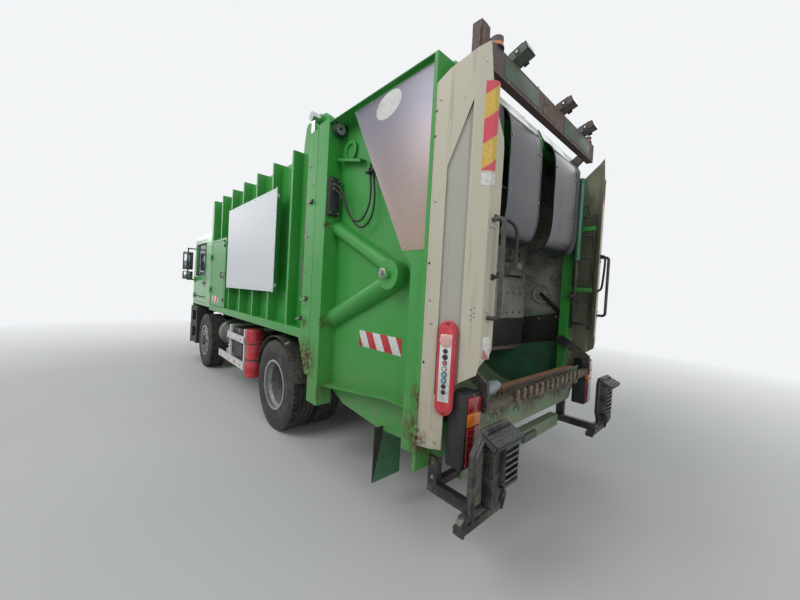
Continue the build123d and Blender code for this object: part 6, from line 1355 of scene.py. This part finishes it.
class TRUCK_OT_mouth(bpy.types.Operator):
    """Dresses the loading mouth: guards, packer plates, lift cylinders, ladder guides and the worn lip"""

    bl_idname = "truck.mouth"
    bl_label = "Loading mouth"

    def execute(self, context):
        out, up = (0, 1, 0), (0, 0, 1)
        bm = bmesh.new()
        path = curved([(3.499, 3.332), (3.526, 3.277), (3.560, 3.217), (3.626, 3.148), (3.663, 3.062),
                       (3.679, 2.92), (3.680, 2.68), (3.679, 2.45), (3.657, 2.312), (3.602, 2.226),
                       (3.482, 2.184)])
        strip(bm, path, -0.007, "X", 0.14, 0.515)
        for x in (0.14, 0.645):
            strip(bm, [point for point in path if point[1] < 3.16], 0.003, "X", x, 0.010)
        both_sides(bm)
        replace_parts(piece("guard_sheets", bm, "guard", "tailgate"), "guard_bands")

        bm = bmesh.new()
        for x in (0.168, 0.627):
            for z in (2.55, 2.95):
                bolt(bm, (x, 3.680, z), out, 1, 0.014)
        for k in range(9):
            pin(bm, (0.33 + 0.05 * (k % 3), 3.6785, 2.67 - 0.08 * (k // 3)), (0, 0.0023, 0), 0.005, 2, 12)
        path = curved([(3.552, 3.205), (3.588, 3.185), (3.612, 3.125), (3.621, 3.04), (3.622, 2.90),
                       (3.622, 2.46), (3.610, 2.34), (3.578, 2.265), (3.552, 2.25)])
        strip(bm, path, -0.006, "X", 0.662, 0.236, 3)
        for z in (2.32, 3.10):
            blocks(bm, 2, 0.004, ((0.89, 3.5495, z), (0.99, 3.580, z + 0.07)),
                   ((0.60, 3.560, z), (0.90, 3.590, z + 0.03)))
        both_sides(bm)
        piece("guard_fittings", bm, "guard zinc chassis dash", "tailgate")

        bm = bmesh.new()
        block(bm, (-0.925, 3.0595, 2.06), (0.925, 3.067, 2.385), 0, 0.003)
        # above z 2.40 the plate is near black: partly its own black paint, partly painted shade in the
        # mouth's upper part
        block(bm, (-0.925, 3.0595, 2.40), (0.925, 3.066, 2.93), 1, 0.003)
        for x in (-0.55, 0.05, 0.65):
            for k in range(8):
                low = Vector((x - 0.22 + k % 4 * 0.07, 3.0665, 2.13 + k // 4 * 0.10))
                block(bm, low, low + Vector((0.035, 0.0025, 0.055)), 1, 0.001)
        for k in range(13):
            bolt(bm, (-0.84 + 0.14 * k, 3.067, 2.085), out, 2, 0.022)
            bolt(bm, (-0.84 + 0.14 * k, 3.066, 2.43), out, 1, 0.020)
        piece("packer_plate", bm, "packer ink zinc", "packer_carriage")

        bm = bmesh.new()
        for low, high, slot in ((1.225, 1.53, 0), (1.545, 1.86, 1)):
            block(bm, (-0.935, 3.0585, low), (0.935, 3.0725, high), slot, 0.003)
        for k in range(12):
            for z in (1.81, 1.59):
                bolt(bm, (-0.82 + 0.149 * k, 3.073, z), out, 2, 0.022)
        block(bm, (-0.938, 3.015, 1.168), (0.938, 3.045, 1.215), 3, 0.004)
        piece("blade_wear_strips", bm, "rubber packer zinc worn", "packer_blade")

        bm = bmesh.new()
        wall, inwards = 1.0845, (-1, 0, 0)
        disc = [(0, 0.0), (0, 0.118), (0.010, 0.118), (0.014, 0.112), (0.014, 0.096), (0.008, 0.092),
                (0.008, 0.052), (0.018, 0.048), (0.020, 0.0)]
        lathe(bm, disc, (wall, 3.215, 1.82), inwards)
        lathe(bm, [(z * 0.7, r * 0.5) for z, r in disc], (wall, 3.36, 2.02), inwards, 0, 36)
        block(bm, (-0.024, -0.022, -0.30), (0.024, 0.022, 0.02), 1, 0.004, turned((wall, 3.215, 1.82), 48))
        plate(bm, [(2.74, 1.47), (3.44, 1.62), (3.44, 1.30), (2.76, 1.14)], "X", wall, -0.010, 2, 0.003)
        for y, z in ((2.80, 1.44), (3.0, 1.485), (3.2, 1.525), (3.4, 1.57)):
            bolt(bm, (wall - 0.010, y, z), inwards, 3, 0.022)
        both_sides(bm)
        piece("wall_wear_plates", bm, "packer ink rubber zinc", "tailgate")
        paint("gate_sides", "inner_wall", lambda at: abs(at.x) < 1.0865 and 2.0 < at.y < 3.49)
        paint("bin_lift", "chassis", lambda at: abs(at.x) > 0.9)

        bm = bmesh.new()
        x, y = 0.948, 3.625
        rod(bm, (x, y, 2.22), (x, y, 3.06), 0.036, 0, 32)
        lathe(bm, [(0, 0.036), (0.004, 0.042), (0.05, 0.042), (0.056, 0.036), (0.056, 0.0), (0, 0.0)],
              (x, y, 2.19), up, 0, 32)
        lathe(bm, [(0, 0.0), (0, 0.036), (0.01, 0.041), (0.04, 0.041), (0.05, 0.03), (0.05, 0.0)],
              (x, y, 3.02), up, 0, 32)
        rod(bm, (x, y, 1.82), (x, y, 2.20), 0.017, 2, 24)
        for z in (1.80, 2.28, 2.98):
            block(bm, (0.932, 3.5497, z), (1.02, 3.635, z + 0.03), 2, 0.005)
        for y in (3.565, 3.735):
            block(bm, (1.035, y, 1.46), (1.062, y + 0.03, 2.70), 2, 0.004)
        for z in (1.50, 1.74, 1.98, 2.22, 2.46, 2.66):
            block(bm, (1.037, 3.58, z), (1.058, 3.75, z + 0.028), 2, 0.004)
        for z in (1.86, 2.52):
            block(bm, (1.03, 3.5497, z), (1.064, 3.77, z + 0.05), 3, 0.006)
        tube(bm, [(1.045, 3.60, 2.69), (1.05, 3.62, 2.78), (1.05, 3.66, 2.80), (1.045, 3.70, 2.68)], 0.005, 4,
             8)
        both_sides(bm)
        piece("lift_guides", bm, "gloss_green zinc chassis body rubber", "tailgate")

        bm = bmesh.new()
        block(bm, (-0.668, 3.744, 1.072), (0.668, 3.750, 1.106), 0, 0.002)
        piece("lip_strip", bm, "worn", "tailgate")

        # the comb: torn rubber hanging behind worn plates, with the bolts between them
        dice = random.Random(7)
        bm = bmesh.new()
        for k in range(30):
            x = -0.64 + 0.0427 * k
            drop, lean = dice.uniform(0.03, 0.095), dice.uniform(-0.012, 0.012)
            width = dice.uniform(0.024, 0.044)
            torn = [(0, 0.03), (width, 0.03), (width * 0.9 + lean, -drop), (width * 0.5 + lean, -drop * 0.8),
                    (width * 0.1 + lean, -drop * dice.uniform(0.7, 1.0))]
            plate(bm, [(x + u, 1.004 + v) for u, v in torn], "Y", 3.8095, dice.uniform(0.003, 0.005), 2)
        for k in range(13):
            x = (k - 6) * 0.1
            block(bm, (x - 0.019, 3.832, 1.012), (x + 0.019, 3.838, 1.092), 0, 0.002)
            bolt(bm, (x + 0.05, 3.8095, 1.045), out, 1, 0.014)
        piece("comb_wear_plates", bm, "worn zinc fringe", "bin_lift")

        bm = bmesh.new()
        for k, radius in enumerate((0.034, 0.042, 0.045, 0.043, 0.036)):
            roll = [(0, 0.0), (0, radius * 0.8), (0.012, radius), (0.036, radius * 1.02),
                    (0.048, radius * 0.85), (0.048, 0.0)]
            lathe(bm, roll, (0.70 + 0.045 * k, 3.725, 1.125 - 0.004 * k), (1, 0.05 * (k - 2), 0), 0, 20)
        piece("lip_bundle", bm, "cloth_grey", "tailgate", 60)

        paint("hopper_tub", "lip", lambda at: at.y > 3.69 and at.z > 1.06)
        paint("hopper_tub", "apron", lambda at: at.y > 3.55 and at.z <= 1.06)
        return {"FINISHED"}


class TRUCK_OT_steps(bpy.types.Operator):
    """Builds the two folding steps and dresses their carriers"""

    bl_idname = "truck.steps"
    bl_label = "Folding steps"

    def execute(self, context):
        edge = ((0.188, 0.50), (0.188, 0.865), (0.09, 0.985), (-0.15, 0.985), (-0.188, 0.94), (-0.188, 0.64),
                (-0.09, 0.50))
        field = ((0.05, 0.535), (0.176, 0.535), (0.176, 0.85), (0.10, 0.94), (0.05, 0.94))
        for hand, side in HANDS:
            centre = side * 1.09
            bm = bmesh.new()
            panel = [(centre + side * u, z) for u, z in edge]
            tube(bm, [(x, 3.932, z) for x, z in panel], 0.0125, 0, 14)
            plate(bm, panel, "Y", 3.9065, 0.004, 0, 0.001)
            strip(bm, panel, 0.004 * side, "Y", 3.9065, 0.055)
            rod(bm, (centre - 0.1995, 3.905, 0.50), (centre + 0.1995, 3.905, 0.50), 0.0275, 0, 28)
            plate(bm, [(centre + side * u, z) for u, z in field], "Y", 3.910, 0.004, 3, 0.001)
            box = centre + side * 0.012
            block(bm, (box - 0.036, 3.909, 0.515), (box + 0.036, 3.986, 0.90), 0, 0.006)
            blocks(bm, 2, 0.003, ((box - 0.026, 3.982, 0.545), (box + 0.026, 3.988, 0.70)),
                   ((box - 0.026, 3.982, 0.725), (box + 0.026, 3.988, 0.875)))
            # the louvred plate beside the box: backing, rim and slats
            x = centre - side * 0.110
            block(bm, (x - 0.076, 3.955, 0.645), (x + 0.076, 3.996, 0.925), 2, 0.004)
            blocks(bm, 0, 0.003, ((x - 0.08, 3.955, 0.632), (x + 0.08, 4.012, 0.648)),
                   ((x - 0.08, 3.955, 0.922), (x + 0.08, 4.012, 0.936)))
            blocks(bm, 0, 0.002, ((x - 0.08, 3.955, 0.632), (x - 0.074, 4.012, 0.936)),
                   ((x + 0.074, 3.955, 0.632), (x + 0.08, 4.012, 0.936)))
            for k in range(7):
                slat = turned((x, 4.002, 0.668 + k * 0.039), 38)
                block(bm, (-0.074, -0.014, -0.0045), (0.074, 0.014, 0.0045), 1, 0.001, slat)
            # the sloping band on top, with its studs
            tread = turned((centre - side * 0.03, 3.985, 0.952), -24)
            blocks(bm, 0, 0.001, ((-0.155, -0.062, -0.003), (0.155, 0.066, 0.003)),
                   ((-0.155, 0.060, -0.034), (0.155, 0.066, 0.003)),
                   ((-0.155, -0.05, -0.034), (-0.149, 0.066, 0.003)),
                   ((0.149, -0.05, -0.034), (0.155, 0.066, 0.003)), at=tread)
            for k in range(48):
                stud = (-0.137 + k % 12 * 0.025, -0.04 + k // 12 * 0.028, 0.002)
                pin(bm, stud, (0, 0, 0.0055), 0.0055, 1, 8, 0.004, tread)
            made = piece("folding_step_" + hand, bm, "step tread ink scuffed", "step_" + hand)
            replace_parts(made, "step_" + hand)
        paint("underrun_beam", "apron",
              lambda at: abs(at.x) < 0.862 and 3.48 < at.y < 3.575 and 0.40 < at.z < 0.535)

        bm = bmesh.new()
        pin(bm, (1.304, 3.905, 0.50), (0.031, 0, 0), 0.015)
        pin(bm, (1.333, 3.905, 0.50), (0.006, 0, 0), 0.019)
        for z in (0.60, 0.50):
            bolt(bm, (1.1155, 3.515, z), (1, 0, 0), 0, 0.02)
        both_sides(bm)
        block(bm, (-0.30, 3.5695, 0.435), (-0.05, 3.60, 0.505), 1, 0.006)
        for x in (-0.7, 0.5, 0.7):
            bolt(bm, (x, 3.57, 0.47), (0, 1, 0), 0, 0.022)
        piece("carrier_fittings", bm, "zinc bar_green", "tailgate")
        return {"FINISHED"}


class TRUCK_PT_dressing(bpy.types.Panel):
    """Lists the sizes, the colours and the pieces' operators"""

    bl_idname = "TRUCK_PT_dressing"
    bl_label = "Garbage truck"
    bl_space_type = "VIEW_3D"
    bl_region_type = "UI"
    bl_category = "Truck"

    def draw(self, context):
        scene = context.scene
        for group, kind in ((scene.truck_sizes, TruckSizes), (scene.truck_colours, TruckColours)):
            for name in kind.__annotations__:
                self.layout.prop(group, name)
        for operator in OPERATORS:
            self.layout.operator(operator.bl_idname)


OPERATORS = (TRUCK_OT_finishes, TRUCK_OT_stage, TRUCK_OT_hoses, TRUCK_OT_wheels, TRUCK_OT_cab, TRUCK_OT_seats,
             TRUCK_OT_body, TRUCK_OT_chassis, TRUCK_OT_recess, TRUCK_OT_covers, TRUCK_OT_lamps,
             TRUCK_OT_mouth, TRUCK_OT_steps)
CLASSES = (TruckColours, TruckSizes, *OPERATORS, TRUCK_PT_dressing)


def register():
    """Adds the classes and the scene's property groups."""
    for item in CLASSES:
        bpy.utils.register_class(item)
    bpy.types.Scene.truck_colours = PointerProperty(type=TruckColours)
    bpy.types.Scene.truck_sizes = PointerProperty(type=TruckSizes)


def unregister():
    """Removes them again."""
    del bpy.types.Scene.truck_colours
    del bpy.types.Scene.truck_sizes
    for item in reversed(CLASSES):
        bpy.utils.unregister_class(item)


def main():
    """Builds everything in order."""
    register()
    for operator in OPERATORS:
        group, name = operator.bl_idname.split(".")
        getattr(getattr(bpy.ops, group), name)()


if __name__ == "__main__":
    main()
